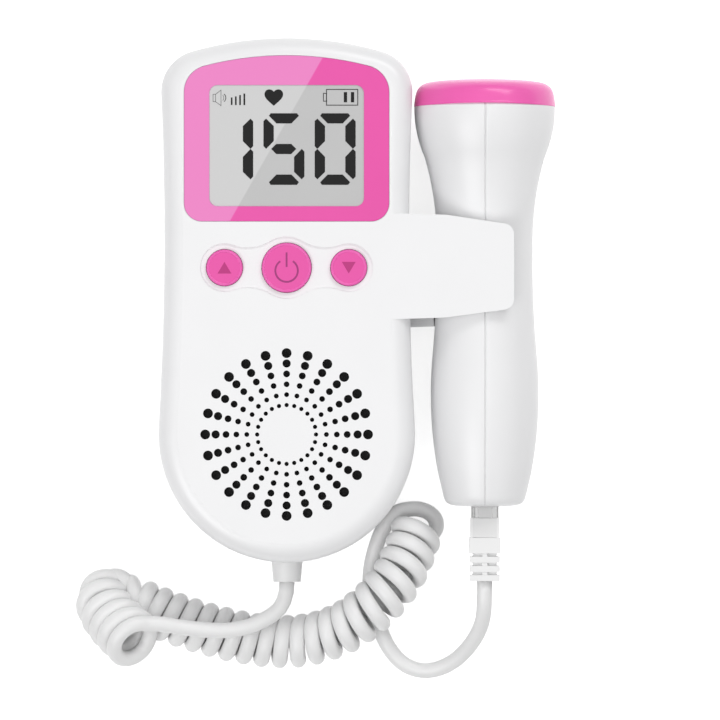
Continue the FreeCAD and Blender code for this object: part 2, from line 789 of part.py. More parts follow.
def circuit_board():
    board = new_body("MainBoard")
    sketch = new_sketch(board, "BoardOutline", "board_height")
    round_rectangle(sketch, "board_half_width", "board_bottom_y", "board_top_y", "board_corner")
    pad(board, sketch, "board_thickness")
    node("main_circuit_board", board)
    solids = [block(n.title(), f"{n}_x", f"{n}_y", f"board_height - {n}_depth", f"{n}_width", f"{n}_length",
                    f"{n}_depth") for n in ("controller", "amplifier", "filter", "crystal", "regulator")]
    caps = [cylinder(f"Capacitor{i}", f"{side} * capacitor_x", "capacitor_y",
                     "board_height - capacitor_depth", "capacitor_radius", "capacitor_depth")
            for i, side in enumerate((-1, 1))]
    node("board_components", group("Components", solids + caps))
    switches = [block(f"Switch{n}", x, "button_y", BOARD_TOP, "switch_side", "switch_side", "switch_thickness")
                for n, x, _ in BUTTONS]
    node("button_switches", group("Switches", switches))


def button(name, x, radius):
    """A cap with a flange that rests against the shell and a stem above its switch."""
    body = new_body(name.title().replace("_", ""))
    flange_z = f"{LCD_TOP} - button_flange_thickness"
    stem_z = f"{BOARD_TOP} + switch_thickness + button_travel + 0.1"
    face = new_sketch(body, f"{name}Cap", flange_z)
    circle(face, x, "button_y", radius)
    cap = pad(body, face, f"unit_thickness + button_rise - ({flange_z})")
    rim = edges_at(cap, size("unit_thickness + button_rise"))
    fillet(body, cap, rim, "button_rise + 0.1", f"{name}Rim")
    posts(body, f"{name}Flange", flange_z, [(x, "button_y", f"{radius} + button_flange")],
          "button_flange_thickness")
    posts(body, f"{name}Stem", stem_z, [(x, "button_y", "switch_side / 2")], f"{flange_z} - ({stem_z})")
    return node(name, body)


# Loudspeaker, from its dust cloth down to the magnet


def loudspeaker():
    cloth_z = f"{LCD_TOP} - cloth_thickness"
    node("speaker_cloth", cylinder("Cloth", "0", "speaker_y", cloth_z, "speaker_radius", "cloth_thickness"))
    rim_z = f"{cloth_z} - speaker_rim_thickness"
    ring = cylinder("Rim", "0", "speaker_y", rim_z, "speaker_radius", "speaker_rim_thickness")
    basket = cone("Basket", "0", "speaker_y", f"{rim_z} - basket_depth", "basket_base_radius",
                  "speaker_radius - 1", "basket_depth")
    outside = fuse("BasketOutside", [ring, basket])
    seat = cylinder("SurroundSeat", "0", "speaker_y", rim_z, "speaker_radius - 1.6", "speaker_rim_thickness")
    inside = cone("BasketInside", "0", "speaker_y", f"{rim_z} - basket_depth + sheet_metal",
                  "basket_base_radius - sheet_metal", "speaker_radius - 1 - sheet_metal",
                  "basket_depth + speaker_rim_thickness - sheet_metal + 0.01")
    node("speaker_frame", cut("SpeakerFrame", outside, fuse("BasketSpace", [inside, seat])))
    top = "speaker_radius - 2.6"
    cone_z = f"{cloth_z} - 0.6 - cone_depth"
    shape = cone("ConeOutside", "0", "speaker_y", cone_z, "magnet_radius - 3", top, "cone_depth")
    bowl = cone("ConeInside", "0", "speaker_y", f"{cone_z} + 0.5", "magnet_radius - 3", top, "cone_depth")
    edge = cylinder("Surround", "0", "speaker_y", f"{cloth_z} - 1", "speaker_radius - 1.9", "0.8")
    hole = cylinder("SurroundHole", "0", "speaker_y", f"{cloth_z} - 1.1", "speaker_radius - 3.6", "1")
    membrane = fuse("Membrane", [cut("Bowl", shape, bowl), cut("SurroundRing", edge, hole)])
    node("speaker_cone", membrane)
    magnet_z = f"{rim_z} - basket_depth - magnet_thickness"
    node("speaker_magnet", cylinder("Magnet", "0", "speaker_y", magnet_z, "magnet_radius", "magnet_thickness"))


# Batteries with their springs and plates, and the door under them


def batteries():
    for name, side in (("battery_left", -1), ("battery_right", 1)):
        can = cylinder(f"Can{name}", f"{side} * {CELL_X}", "cell_bottom_y", CELL_Z, "cell_radius",
                       "cell_length - tip_length", "Y")
        tip = cylinder(f"Tip{name}", f"{side} * {CELL_X}", "cell_bottom_y + cell_length - tip_length", CELL_Z,
                       "tip_radius", "tip_length", "Y")
        node(name, fuse(name.title().replace("_", ""), [can, tip]))
    plates = [
        block(f"Plate{i}", x, y, f"{CELL_Z} - contact_side / 2", "contact_side", "contact_thickness",
              "contact_side")
        for i, (x, y) in enumerate([
            (f"-{CELL_X}", f"{INNER_LOW} + contact_thickness / 2 + 0.01"),
            (CELL_X, f"{INNER_LOW} + contact_thickness / 2 + 0.01"),
            (f"-{CELL_X}", f"{INNER_HIGH} - contact_thickness / 2 - 0.01"),
            (CELL_X, f"{INNER_HIGH} - contact_thickness / 2 - 0.01"),
        ])
    ]
    dimples = [
        cylinder(f"Dimple{i}", f"{side} * {CELL_X}", "cell_bottom_y + cell_length + 0.05", CELL_Z,
                 "dimple_radius", "compartment_end_gap - contact_thickness - 0.03", "Y")
        for i, side in enumerate((-1, 1))
    ]
    pairs = [plates[0], plates[1], fuse("DimplePlate0", [plates[2], dimples[0]]),
             fuse("DimplePlate1", [plates[3], dimples[1]])]
    node("battery_contacts", group("Contacts", pairs))
    springs = []
    for side in (-1, 1):
        rings = []
        for turn in range(4):
            ring = doc.addObject("Part::Torus", f"Spring{side + 1}Turn{turn}")
            ring.Placement = FreeCAD.Placement(V(), FreeCAD.Rotation(*TURNS["Y"]))
            bind(ring, "Radius1", "spring_radius + 0.1")
            bind(ring, "Radius2", "spring_wire_radius")
            first = f"{INNER_LOW} + contact_thickness + spring_wire_radius + 0.02"
            last = "cell_bottom_y - spring_wire_radius - 0.02"
            place(ring, f"{side} * {CELL_X}", f"{last} + ({first} - ({last})) * {turn} / 3", CELL_Z)
            rings.append(ring)
        post = cylinder(f"SpringPost{side + 1}", f"{side} * {CELL_X}",
                        f"{INNER_LOW} + contact_thickness + 0.02", CELL_Z, "spring_radius + 0.2",
                        "compartment_end_gap - contact_thickness - 0.04", "Y")
        bore = cylinder(f"SpringBore{side + 1}", f"{side} * {CELL_X}", INNER_LOW, CELL_Z,
                        "spring_radius - 0.3", "compartment_end_gap", "Y")
        springs.append(fuse(f"Spring{side + 1}", rings + [cut(f"SpringWall{side + 1}", post, bore)]))
    node("battery_springs", group("Springs", springs))


def battery_door():
    """A plate in the back, hung on two pins at its upper end."""
    half, low, high = f"{INNER_X} - door_gap", f"{INNER_LOW} + door_gap", f"{INNER_HIGH} - door_gap"
    pivot_y, pivot_z = f"{high} - door_thickness / 2", "door_inset + door_thickness / 2"
    plate = block("DoorPlate", "0", f"({low} + {pivot_y}) / 2", "door_inset", f"2 * ({half})",
                  f"{pivot_y} - ({low})", "door_thickness")
    barrel = cylinder("DoorEnd", f"-({half})", pivot_y, pivot_z, "door_thickness / 2", f"2 * ({half})", "X")
    pins = cylinder("DoorPins", f"-({half} + door_pin_length)", pivot_y, pivot_z, "door_pin_radius",
                    f"2 * ({half} + door_pin_length)", "X")
    notch = cylinder("DoorNotch", "0", f"{low} - 0.68 * door_notch_radius", "door_inset - 1",
                     "door_notch_radius", "door_thickness + 2")
    door = cut("Door", fuse("DoorBlank", [plate, barrel, pins]), notch)
    node("battery_door", door)


def case_screws():
    screws = []
    for i, (x, y) in enumerate(SCREWS):
        head = cylinder(f"ScrewHead{i}", x, y, "screw_sink - screw_head_thickness", "screw_head_radius",
                        "screw_head_thickness")
        shank = cylinder(f"ScrewShank{i}", x, y, "screw_sink", "screw_shank_radius", "screw_length")
        slot = [block(f"ScrewSlot{i}{k}", x, y, "screw_sink - screw_head_thickness - 0.5", a, b, "1.3")
                for k, (a, b) in enumerate((("2.6", "0.6"), ("0.6", "2.6")))]
        cross = fuse(f"ScrewCross{i}", slot)
        screws.append(cut(f"Screw{i}", fuse(f"ScrewBlank{i}", [head, shank]), cross))
    node("case_screws", group("Screws", screws))


# Probe


PROFILE = [
    ("head_radius", "head_y"),
    ("shoulder_radius", "shoulder_y"),
    ("neck_radius", "neck_y"),
    ("hip_radius", "hip_y"),
    ("taper_radius", "taper_y"),
    ("foot_radius", "foot_y"),
    ("foot_radius - foot_round", "foot_y - foot_round"),
]


def turned(body, name, points, bends, half=0):
    """A solid of revolution about the probe's axis: whole, or its right (1) or left (-1) half."""
    side = half or 1
    sketch = new_sketch(body, name, "probe_z", "probe_x")
    flipped = [(f"{side} * ({r})", y) for r, y in points]
    polygon(sketch, flipped, {i: f"{side} * ({r})" for i, r in bends.items()})
    turn = body.newObject("PartDesign::Revolution", f"{name}Turn")
    turn.Profile = sketch
    turn.ReferenceAxis = (sketch, ["V_Axis"])
    turn.Angle = 180 if half else 360
    turn.Midplane = True
    doc.recompute()
    return turn


def probe_shell(name, half):
    body = new_body(name.title().replace("_", ""))
    outside = [("0", "head_y")] + PROFILE + [("0", "foot_y - foot_round")]
    bends = {1: "-shoulder_bend", 2: "neck_bend", 3: "flare_bend", 4: "-belly_bend", 6: "-foot_round"}
    turned(body, f"{name}Outside", outside, bends, half)
    side = half
    sketch = new_sketch(body, f"{name}Hollow", "probe_z", "probe_x")
    inner = [("0", "head_y + 1"), ("head_radius - probe_wall", "head_y + 1")]
    inner += [(f"{r} - probe_wall", y) for r, y in PROFILE[:-1]]
    inner += [("0", "foot_y")]
    polygon(sketch, [(f"{side} * ({r})", y) for r, y in inner])
    groove = body.newObject("PartDesign::Groove", f"{name}Inside")
    groove.Profile = sketch
    groove.ReferenceAxis = (sketch, ["V_Axis"])
    groove.Angle = 180
    groove.Midplane = True
    doc.recompute()
    port = new_sketch(body, f"{name}Port", "-foot_y", plane="XZ_Plane")
    width, depth = "plug_width / 2 + port_gap", "plug_depth / 2 + port_gap"
    polygon(port, [
        (f"probe_x - ({width})", f"probe_z - ({depth})"),
        (f"probe_x + {width}", f"probe_z - ({depth})"),
        (f"probe_x + {width}", f"probe_z + {depth}"),
        (f"probe_x - ({width})", f"probe_z + {depth}"),
    ])
    cut_port = pocket(body, port, "2 * foot_round + 2", up=False)
    cut_port.Midplane = True
    doc.recompute()
    return node(name, body)


def probe_cap():
    body = new_body("ProbeCap")
    wide = "(head_radius + cap_overhang)"
    top = "head_y + cap_thickness"
    turned(body, "CapOutside", [
        ("0", "head_y"),
        (wide, "head_y"),
        (wide, f"{top} - cap_bevel - cap_crown"),
        (f"{wide} - cap_bevel", f"{top} - cap_crown"),
        ("0", top),
    ], {2: "cap_bevel", 3: f"(({wide} - cap_bevel)^2 + cap_crown^2) / (2 * cap_crown)"})
    sketch = new_sketch(body, "CapInside", "probe_z", "probe_x")
    polygon(sketch, [
        ("0", "head_y - 1"),
        (f"{wide} - cap_skin", "head_y - 1"),
        (f"{wide} - cap_skin", "head_y + cap_thickness - cap_skin - cap_crown - 1"),
        (f"{wide} - cap_skin - 1", "head_y + cap_thickness - cap_skin - cap_crown"),
        ("0", "head_y + cap_thickness - cap_skin - cap_crown"),
    ])
    groove = body.newObject("PartDesign::Groove", "CapHollow")
    groove.Profile = sketch
    groove.ReferenceAxis = (sketch, ["V_Axis"])
    groove.Angle = 360
    doc.recompute()
    return node("probe_face_cap", body)


def half_disc(name, side, y, thickness):
    """A half of a disc across the probe's axis, above it (1) or below it (-1)."""
    disc = cylinder(f"{name}Disc", "probe_x", y, "probe_z", "crystal_radius", thickness, "Y")
    low = "crystal_gap / 2" if side > 0 else "-crystal_gap / 2 - crystal_radius"
    keep = box(f"{name}Keep", "probe_x - crystal_radius", y, f"probe_z + {low}", "2 * crystal_radius",
               thickness, "crystal_radius")
    common = doc.addObject("Part::MultiCommon", name)
    common.Shapes = [disc, keep]
    return common


JACK_TOP = "(foot_y + jack_length)"


def probe_inside():
    face = "(head_y + cap_thickness - cap_skin - cap_crown)"
    crystal_y = f"{face} - crystal_thickness"
    node("transmit_crystal", half_disc("TransmitCrystal", 1, crystal_y, "crystal_thickness"))
    node("receive_crystal", half_disc("ReceiveCrystal", -1, crystal_y, "crystal_thickness"))
    backing_y = f"{crystal_y} - backing_thickness"
    node("crystal_backing", cylinder("Backing", "probe_x", backing_y, "probe_z",
                                     "head_radius - probe_wall - 0.5", "backing_thickness", "Y"))
    low = f"{JACK_TOP} + 0.1"
    node("probe_circuit_board", box("ProbeBoard", "probe_x - probe_board_half_width", low,
                                    "probe_z - probe_board_thickness / 2", "2 * probe_board_half_width",
                                    f"probe_board_top_y - ({low})", "probe_board_thickness"))
    jack_low = f"{JACK_TOP} - jack_length"
    jack = box("JackBody", "probe_x - jack_half_width", jack_low, "probe_z - jack_half_depth",
               "2 * jack_half_width", "jack_length", "2 * jack_half_depth")
    socket = box("JackSocket", "probe_x - plug_width / 2 - plug_gap", f"{jack_low} - 1",
                 "probe_z - plug_depth / 2 - plug_gap", "plug_width + 2 * plug_gap",
                 "plug_insert + 1.5", "plug_depth + 2 * plug_gap")
    node("probe_jack", cut("Jack", jack, socket))
    wires = [
        cylinder(f"ProbeWire{i}", f"probe_x + {side} * probe_wire_x", "probe_board_top_y", "probe_z",
                 "wire_radius", f"{backing_y} - probe_board_top_y", "Y")
        for i, side in enumerate((-1, 1))
    ]
    node("probe_wires", group("ProbeWires", wires))


# Modular plug at the end of the lead

PLUG_TOP = "(foot_y + plug_insert)"
PLUG_FACE = "(foot_y - foot_round - plug_show)"


def across(name, y_top, width, depth, length):
    """A block on the plug's line, from a height downwards."""
    return box(name, f"probe_x - ({width}) / 2", f"{y_top} - ({length})", f"probe_z - ({depth}) / 2", width,
               length, depth)


def plug():
    housing = across("Housing", PLUG_TOP, "plug_width", "plug_depth", f"{PLUG_TOP} - {PLUG_FACE}")
    slots = fuse("ContactSlots", [
        box(f"ContactSlot{i}", f"probe_x + {1.02 * (i - 1.5)} - 0.25", f"{PLUG_TOP} - 5",
            "probe_z + plug_depth / 2 - 2", "0.5", "5.1", "2.1")
        for i in range(4)
    ])
    node("plug_housing", cut("PlugHousing", housing, slots))
    contacts = [
        box(f"Contact{i}", f"probe_x + {1.02 * (i - 1.5)} - 0.2", f"{PLUG_TOP} - 4.9",
            "probe_z + plug_depth / 2 - 1.95", "0.4", "4.4", "1.7")
        for i in range(4)
    ]
    node("plug_contacts", group("PlugContacts", contacts))
    collar = across("Collar", PLUG_FACE, "collar_width", "plug_depth + 0.2", "collar_length")
    node("plug_collar", collar)
    head_y = f"({PLUG_FACE} - collar_length)"
    pieces = [across("BootHead", head_y, "boot_width", "boot_depth", "boot_head_length")]
    spine = "3 * (boot_slot_length + boot_rib_length)"
    rib_y = f"({head_y} - boot_head_length)"
    pieces.append(across("BootSpine", rib_y, "boot_spine_width", "boot_depth - 0.6", spine))
    pieces.append(across("BootCore", rib_y, "boot_rib_width - 1.6", "boot_depth - 2.4", spine))
    for i in range(3):
        start = f"{rib_y} - boot_slot_length - {i} * (boot_slot_length + boot_rib_length)"
        pieces.append(across(f"BootRib{i}", start, "boot_rib_width", "boot_depth - 0.4", "boot_rib_length"))
    node("plug_boot", fuse("Boot", pieces))


# Lead: gland, tube from the gland, coil and tube to the plug


def gland():
    body = new_body("Gland")
    sketch = new_sketch(body, "GlandProfile", "split_height")
    seat = "(speaker_y - sqrt((lower_radius - wall)^2 - (gland_radius + gland_flange)^2))"
    low = "(speaker_y - lower_radius)"
    polygon(sketch, [
        ("0", "gland_end_y"),
        ("gland_end_radius", "gland_end_y"),
        ("gland_radius", low),
        ("gland_radius", f"{seat} + pin_clearance"),
        ("gland_radius + gland_flange", f"{seat} + pin_clearance"),
        ("gland_radius + gland_flange", f"{seat} + pin_clearance + gland_flange_thickness"),
        ("0", f"{seat} + pin_clearance + gland_flange_thickness"),
    ])
    turn = body.newObject("PartDesign::Revolution", "GlandTurn")
    turn.Profile = sketch
    turn.ReferenceAxis = (sketch, ["V_Axis"])
    turn.Angle = 360
    doc.recompute()
    return node("cord_gland", body)


def wires():
    """Short insulated wires inside the unit."""
    speaker = [
        cylinder(f"SpeakerWire{i}", f"{side} * speaker_wire_x", "board_bottom_y + speaker_wire_x",
                 "board_height - speaker_wire_drop", "wire_radius", "speaker_wire_drop - 0.1")
        for i, side in enumerate((-1, 1))
    ]
    magnet = [
        cylinder(f"SpeakerLead{i}", f"{side} * speaker_wire_x", "speaker_y + magnet_radius + 0.1",
                 "board_height - speaker_wire_drop", "wire_radius",
                 "board_bottom_y + speaker_wire_x - speaker_y - magnet_radius - 0.1", "Y")
        for i, side in enumerate((-1, 1))
    ]
    pairs = [fuse(f"SpeakerPair{i}", [a, b]) for i, (a, b) in enumerate(zip(speaker, magnet))]
    node("speaker_wires", group("SpeakerWires", pairs))


def route_wire(points):
    """Straight runs joined by tangent arcs, each as large as its runs allow."""
    spots = [V(*p) for p in points]
    edges = []
    here = spots[0]
    for before, corner, after in zip(spots, spots[1:], spots[2:]):
        back, ahead = before - corner, after - corner
        turn = math.pi - back.getAngle(ahead)
        radius = 0.45 * min(back.Length, ahead.Length) / math.tan(turn / 2)
        reach = radius * math.tan(turn / 2)
        start = corner + back.normalize() * reach
        end = corner + ahead.normalize() * reach
        inward = (back + ahead).normalize()
        middle = corner + inward * (radius / math.cos(turn / 2) - radius)
        edges += [Part.LineSegment(here, start).toShape(), Part.Arc(start, middle, end).toShape()]
        here = end
        print(f"  bend radius {radius:.1f}")
    edges.append(Part.LineSegment(here, spots[-1]).toShape())
    return Part.Wire(edges)


def tube(name, points, diameter):
    """A round tube along a route, as a node."""
    path = route_wire(points)
    way = path.Edges[0].tangentAt(path.Edges[0].FirstParameter)
    ring = Part.Wire([Part.Circle(V(*points[0]), way, diameter / 2).toShape()])
    feature = doc.addObject("Part::Feature", name.title().replace("_", ""))
    feature.Shape = path.makePipeShell([ring], True, True, 2)
    expected = math.pi * diameter**2 / 4 * path.Length
    print(f"{name}: length {path.Length:.1f}, volume {feature.Shape.Volume / expected:.4f} of its section's")
    return node(name, feature)


def lead():
    """The curly lead as it lies: from the gland over the coil into its left end, and from its right end
    under the coil to the plug."""
    exit_z, plug_z = size("split_height"), size("probe_z")
    exit_y = size("gland_end_y")
    boot_y = size(f"{PLUG_FACE} - collar_length - boot_head_length - 3 * (boot_slot_length + boot_rib_length)")
    plug_x = size("probe_x")
    on_table = size("cord_diameter") / 2
    mouth = V(-43.4, -93.4, 12.0)
    tube("cord_lead", [
        (0, exit_y, exit_z),
        (0, -84.2, exit_z),
        (-7.2, -89.4, 18.0),
        (-14.8, -91.6, 17.8),
        (-22.5, -91.5, 17.7),
        (-30.5, -90.3, 17.7),
        (-38.3, -90.5, 16.5),
        (mouth.x, -90.5, 16.5),
    ], size("cord_diameter"))
    tube("cord_tail", [
        (40.05, -68.28, 10.79),
        (41.03, -65.58, 10.45),
        (40.4, -61.5, 9.6),
        (37.9, -58.5, 8.0),
        (34.0, -57.6, 6.4),
        (30.5, -59.7, 4.8),
        (28.0, -63.4, 3.4),
        (25.6, -68.7, 2.5),
        (24.0, -75.6, 2.25),
        (23.7, -83.2, on_table),
        (25.3, -90.4, on_table),
        (28.0, -96.9, on_table),
        (32.6, -101.9, on_table),
        (39.0, -103.6, 2.6),
        (46.0, -101.0, 5.2),
        (51.2, -95.6, 10.0),
        (54.2, -89.6, 15.6),
        (plug_x, -83.6, plug_z),
        (plug_x, boot_y, plug_z),
    ], size("cord_diameter"))
    coil_bottom = size("coil_diameter") / 2
    main = [
        (35.8, -66.8, 10.8),
        (33.6, -72.85, 11.57),
        (29.0, -79.4, 12.3),
        (23.2, -85.3, 12.3),
        (15.6, -91.0, 10.2),
        (5.0, -94.6, 8.2),
        (-6.5, -94.8, coil_bottom),
        (-19.9, -92.2, coil_bottom),
        (-33.7, -87.6, coil_bottom),
        (-46.5, -82.9, coil_bottom),
    ]
    coil(main, [main[-1], (-51.0, -86.0, 8.4), (-51.0, mouth.y, mouth.z), tuple(mouth)])


def coil(main, end):
    """The coil's outer shape: a fat tube, with its turned-up left end as short straight lengths."""
    radius = size("coil_diameter") / 2
    path = route_wire(main)
    way = path.Edges[0].tangentAt(path.Edges[0].FirstParameter)
    ring = Part.Wire([Part.Circle(V(*main[0]), way, radius).toShape()])
    solid = path.makePipeShell([ring], True, True, 2)
    for a, b in zip(end, end[1:]):
        run = V(*b) - V(*a)
        solid = solid.fuse(Part.makeSphere(radius, V(*a)))
        solid = solid.fuse(Part.makeCylinder(radius, run.Length, V(*a), run))
    feature = doc.addObject("Part::Feature", "Coil")
    feature.Shape = solid.removeSplitter()
    node("cord_coil", feature)


display()
circuit_board()
for button_name, button_x, button_radius in BUTTONS:
    button(button_name, button_x, button_radius)
loudspeaker()
batteries()
battery_door()
case_screws()
gland()
wires()
probe_shell("probe_shell_right", 1)
probe_shell("probe_shell_left", -1)
probe_cap()
probe_inside()
plug()
lead()


def write_parts():
    """Checks every object, then writes each sub-part's shape."""
    doc.recompute()
    bad = [o.Name for o in doc.Objects if "Invalid" in o.State or "Error" in o.State]
    if bad:
        raise RuntimeError(f"not computed: {bad}")
    os.makedirs("parts", exist_ok=True)
    for name, thing in NODES.items():
        if thing.Shape.isNull() or not thing.Shape.isValid():
            raise RuntimeError(f"{name} has no valid shape")
        thing.Shape.exportStep(f"parts/{name}.step")
        print(f"{name}: {len(thing.Shape.Solids)} solids, {thing.Shape.Volume / 1000:.2f} cm3")


write_parts()
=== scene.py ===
# %% [markdown]
# # Fetal doppler monitor
# A hand-held unit with a display, three buttons and a loudspeaker, a probe that snaps into the clip
# on its side, and a curly lead between the two. The unit lies on its back. The solids of the packed
# model carry the shape, and each cell below adds one group of visible pieces or one family of
# finishes to them. Lengths are in metres, and the axes are the model's own: +X towards the probe,
# +Y towards the display end, +Z out of the front face.

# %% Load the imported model
import math

import bmesh
import bpy
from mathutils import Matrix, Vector


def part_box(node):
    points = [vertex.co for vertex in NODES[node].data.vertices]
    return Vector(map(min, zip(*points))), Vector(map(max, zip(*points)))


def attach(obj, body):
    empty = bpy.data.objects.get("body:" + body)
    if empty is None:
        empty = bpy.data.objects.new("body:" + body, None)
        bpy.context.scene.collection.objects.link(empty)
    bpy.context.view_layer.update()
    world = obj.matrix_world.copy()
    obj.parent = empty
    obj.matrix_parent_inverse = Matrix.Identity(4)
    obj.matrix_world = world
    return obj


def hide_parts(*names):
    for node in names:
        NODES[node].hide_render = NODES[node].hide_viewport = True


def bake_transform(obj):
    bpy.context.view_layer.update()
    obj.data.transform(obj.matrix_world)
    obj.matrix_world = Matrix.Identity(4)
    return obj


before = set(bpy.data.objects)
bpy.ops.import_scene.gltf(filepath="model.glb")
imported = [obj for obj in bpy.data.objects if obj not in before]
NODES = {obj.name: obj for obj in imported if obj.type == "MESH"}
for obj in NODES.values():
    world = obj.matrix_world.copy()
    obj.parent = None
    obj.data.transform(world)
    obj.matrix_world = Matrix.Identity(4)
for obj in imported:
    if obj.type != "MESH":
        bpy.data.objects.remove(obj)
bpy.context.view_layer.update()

MM = 0.001
SCENE = bpy.context.scene

# %% [markdown]
# ## Places that several pieces share
# A piece that is added to a solid has to sit on it exactly. So its place isn't typed in again: it
# is read from the box of the node that carries it. If the model changes, these places follow.

# %% Read the shared places
def mm(*values):
    """A point given in millimetres."""
    return Vector(values) * MM


def middle(node):
    """The middle of a node's box."""
    low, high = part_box(node)
    return (Vector(low) + Vector(high)) / 2


FACE_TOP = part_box("front_shell")[1][2]
PROBE_MIDDLE = Vector((middle("probe_jack").x, 0, middle("probe_jack").z))
PLUG_END = Vector((PROBE_MIDDLE.x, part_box("plug_boot")[0][1], PROBE_MIDDLE.z))
GLAND_END = Vector((0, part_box("cord_gland")[0][1], middle("cord_gland").z))
print(f"front face at {FACE_TOP / MM:.2f} mm, lead leaves at",
      tuple(round(v / MM, 2) for v in GLAND_END))

# %% [markdown]
# ## Camera
# A product like this is drawn straight from above, with lines that hardly converge. An orthographic
# camera would do that, but a real lens far away keeps a trace of depth at the sides of the probe
# and the lead. So the camera stands three metres up, and its focal length is worked out from the
# width that it has to see.

# %% Put the camera above the unit
VIEW_CENTRE = mm(20.2, -16.6, 25)
VIEW_WIDTH = 0.1989
CAMERA_HEIGHT = 3.0
FILM_WIDTH = 36
SEEN_TO = 20


def make_camera():
    """A long lens that looks straight down on the middle of the view."""
    data = bpy.data.cameras.new("Camera")
    data.sensor_width = FILM_WIDTH
    data.lens = FILM_WIDTH * CAMERA_HEIGHT / VIEW_WIDTH
    data.clip_end = SEEN_TO
    camera = bpy.data.objects.new("Camera", data)
    camera.location = VIEW_CENTRE + Vector((0, 0, CAMERA_HEIGHT))
    SCENE.collection.objects.link(camera)
    SCENE.camera = camera
    print(f"camera {CAMERA_HEIGHT} m up, focal length {data.lens:.0f} mm")


make_camera()

# %% [markdown]
# ## Route of the curly lead
# The lead is one cord, a little over 4 mm thick. It leaves the rubber gland at the foot of the
# unit, passes over the coil, turns into the coil's raised left end, runs through the coil, drops
# out of its right end, passes under it, runs on along the floor and rises to the plug in the probe.
# Drawn point by point, a coil never looks wound. So only its parts are placed: a few points for
# each loose run, and for the coil the middle and the facing of its rings. At the raised end the
# rings turn away from each other, so each of those is written down on its own.

# %% Place the loose runs and the rings
CORD_DIAMETER = 0.0043
COIL_RADIUS = 0.0054
END_RADIUS = 0.0064
PITCH = 0.0046
END_STRETCH = 0.05
TURN_POINTS = 16
LAST_TURN = 28.35
END_TAPER = 4.5
START_ANGLE = math.radians(62)

LEAD_ROUTE = [GLAND_END] + [mm(*place) for place in (
    (0, -84.2, 18.25), (-7.2, -89.4, 18.2), (-14.8, -91.6, 18.4), (-22.5, -91.4, 18.8),
    (-29.5, -90.6, 19.8), (-34.6, -89.6, 21.0),
)]
END_RINGS = [(mm(*centre), Vector(way)) for centre, way in (
    ((-41.5, -95.0, 20.0), (-0.46, 0.48, -0.75)),
    ((-44.1, -92.6, 17.2), (-0.46, 0.48, -0.75)),
    ((-46.4, -90.4, 14.2), (-0.46, 0.48, -0.75)),
    ((-48.5, -88.0, 11.3), (-0.40, 0.46, -0.79)),
    ((-50.1, -85.4, 8.6), (-0.22, 0.36, -0.91)),
    ((-50.4, -82.9, 6.6), (0.06, 0.16, -0.98)),
    ((-48.0, -82.4, 6.6), (0.50, 0.04, -0.86)),
    ((-44.9, -83.6, 7.6), (0.88, -0.20, -0.43)),
    ((-40.2, -85.0, 7.7), (0.93, -0.36, -0.04)),
)]
COIL_AXIS = [mm(*place) for place in (
    (-40.2, -85.0, 7.7), (-33.7, -87.8, 7.6), (-19.9, -92.2, 7.6), (-6.5, -94.9, 7.6),
    (5.0, -94.8, 9.0), (15.6, -91.4, 12.2), (23.6, -85.4, 15.0), (29.4, -79.0, 15.0),
    (33.6, -71.6, 12.4), (36.4, -62.6, 8.0),
)]
TAIL_ROUTE = [mm(*place) for place in (
    (39.3, -65.5, 3.5), (41.3, -64.2, 3.8), (41.6, -61.5, 3.9), (39.9, -59.2, 4.0),
    (37.0, -58.0, 3.9), (33.9, -58.0, 3.8), (30.1, -58.8, 3.4), (26.6, -63.2, 3.0),
    (24.2, -69.4, 2.6), (22.8, -76.2, 2.2), (23.2, -83.4, 2.15), (25.3, -90.4, 2.15),
    (28.0, -96.9, 2.15), (32.6, -101.9, 2.15), (39.0, -103.6, 2.6), (46.0, -101.0, 5.2),
    (51.2, -95.6, 10.0), (54.2, -89.6, 15.6),
)] + [Vector((PROBE_MIDDLE.x, -0.0836, PROBE_MIDDLE.z)), PLUG_END]
print(f"{len(LEAD_ROUTE)} points to the coil, {len(END_RINGS)} placed rings,",
      f"{len(TAIL_ROUTE)} points to the plug")

# %% [markdown]
# ## Smooth lines
# A cord has no corners. A NURBS curve of order 3 passes near its points and never kinks, so both
# the coil's middle line and the whole cord are such curves. Order and end points are set after the
# points are added, because Blender lowers the order while a curve still has too few of them. A mesh
# made from the curve with no bevel gives the points that it really runs through.

# %% Draw a smooth line and read it back
AXIS_STEPS = 40


def nurbs(name, points, resolution=4):
    """A smooth open curve with these control points."""
    data = bpy.data.curves.new(name, "CURVE")
    data.dimensions = "3D"
    data.resolution_u = resolution
    spline = data.splines.new("NURBS")
    spline.points.add(len(points) - 1)
    for control, point in zip(spline.points, points):
        control.co = (*point, 1)
    spline.order_u = 3
    spline.use_endpoint_u = True
    return bpy.data.objects.new(name, data)


def line_of(curve):
    """The points that an unbevelled curve runs through, from its start."""
    mesh = bpy.data.meshes.new_from_object(curve)
    points = [v.co.copy() for v in mesh.vertices]
    bpy.data.meshes.remove(mesh)
    return points


def length_of(points):
    """The length of the line through these points."""
    return sum((b - a).length for a, b in zip(points, points[1:]))


AXIS_LINE = line_of(nurbs("CoilAxis", COIL_AXIS, AXIS_STEPS))
print(f"middle line of the main coil is {length_of(AXIS_LINE) / MM:.0f} mm long")

# %% [markdown]
# ## Turns of the coil
# A curly lead is wound hot round a rod, so its turns are even and touch each other, and this one is
# wound left-handed. Each point of a turn lies on a ring round the middle line. The ring's starting
# side is carried along with as little twist as can be, because a fixed side would flip where the
# coil bends and cross turns. Towards the plug the lead pulls on its coil, so the turns stand a few
# hundredths further apart there. The rings at the raised end are wider, and narrow over the last
# few before the main coil.

# %% Wind the turns
ROUNDING = 1e-6


def next_side(side, way):
    """The side turned as little as it can be to stay square to the way on."""
    return (side - way * side.dot(way)).normalized()


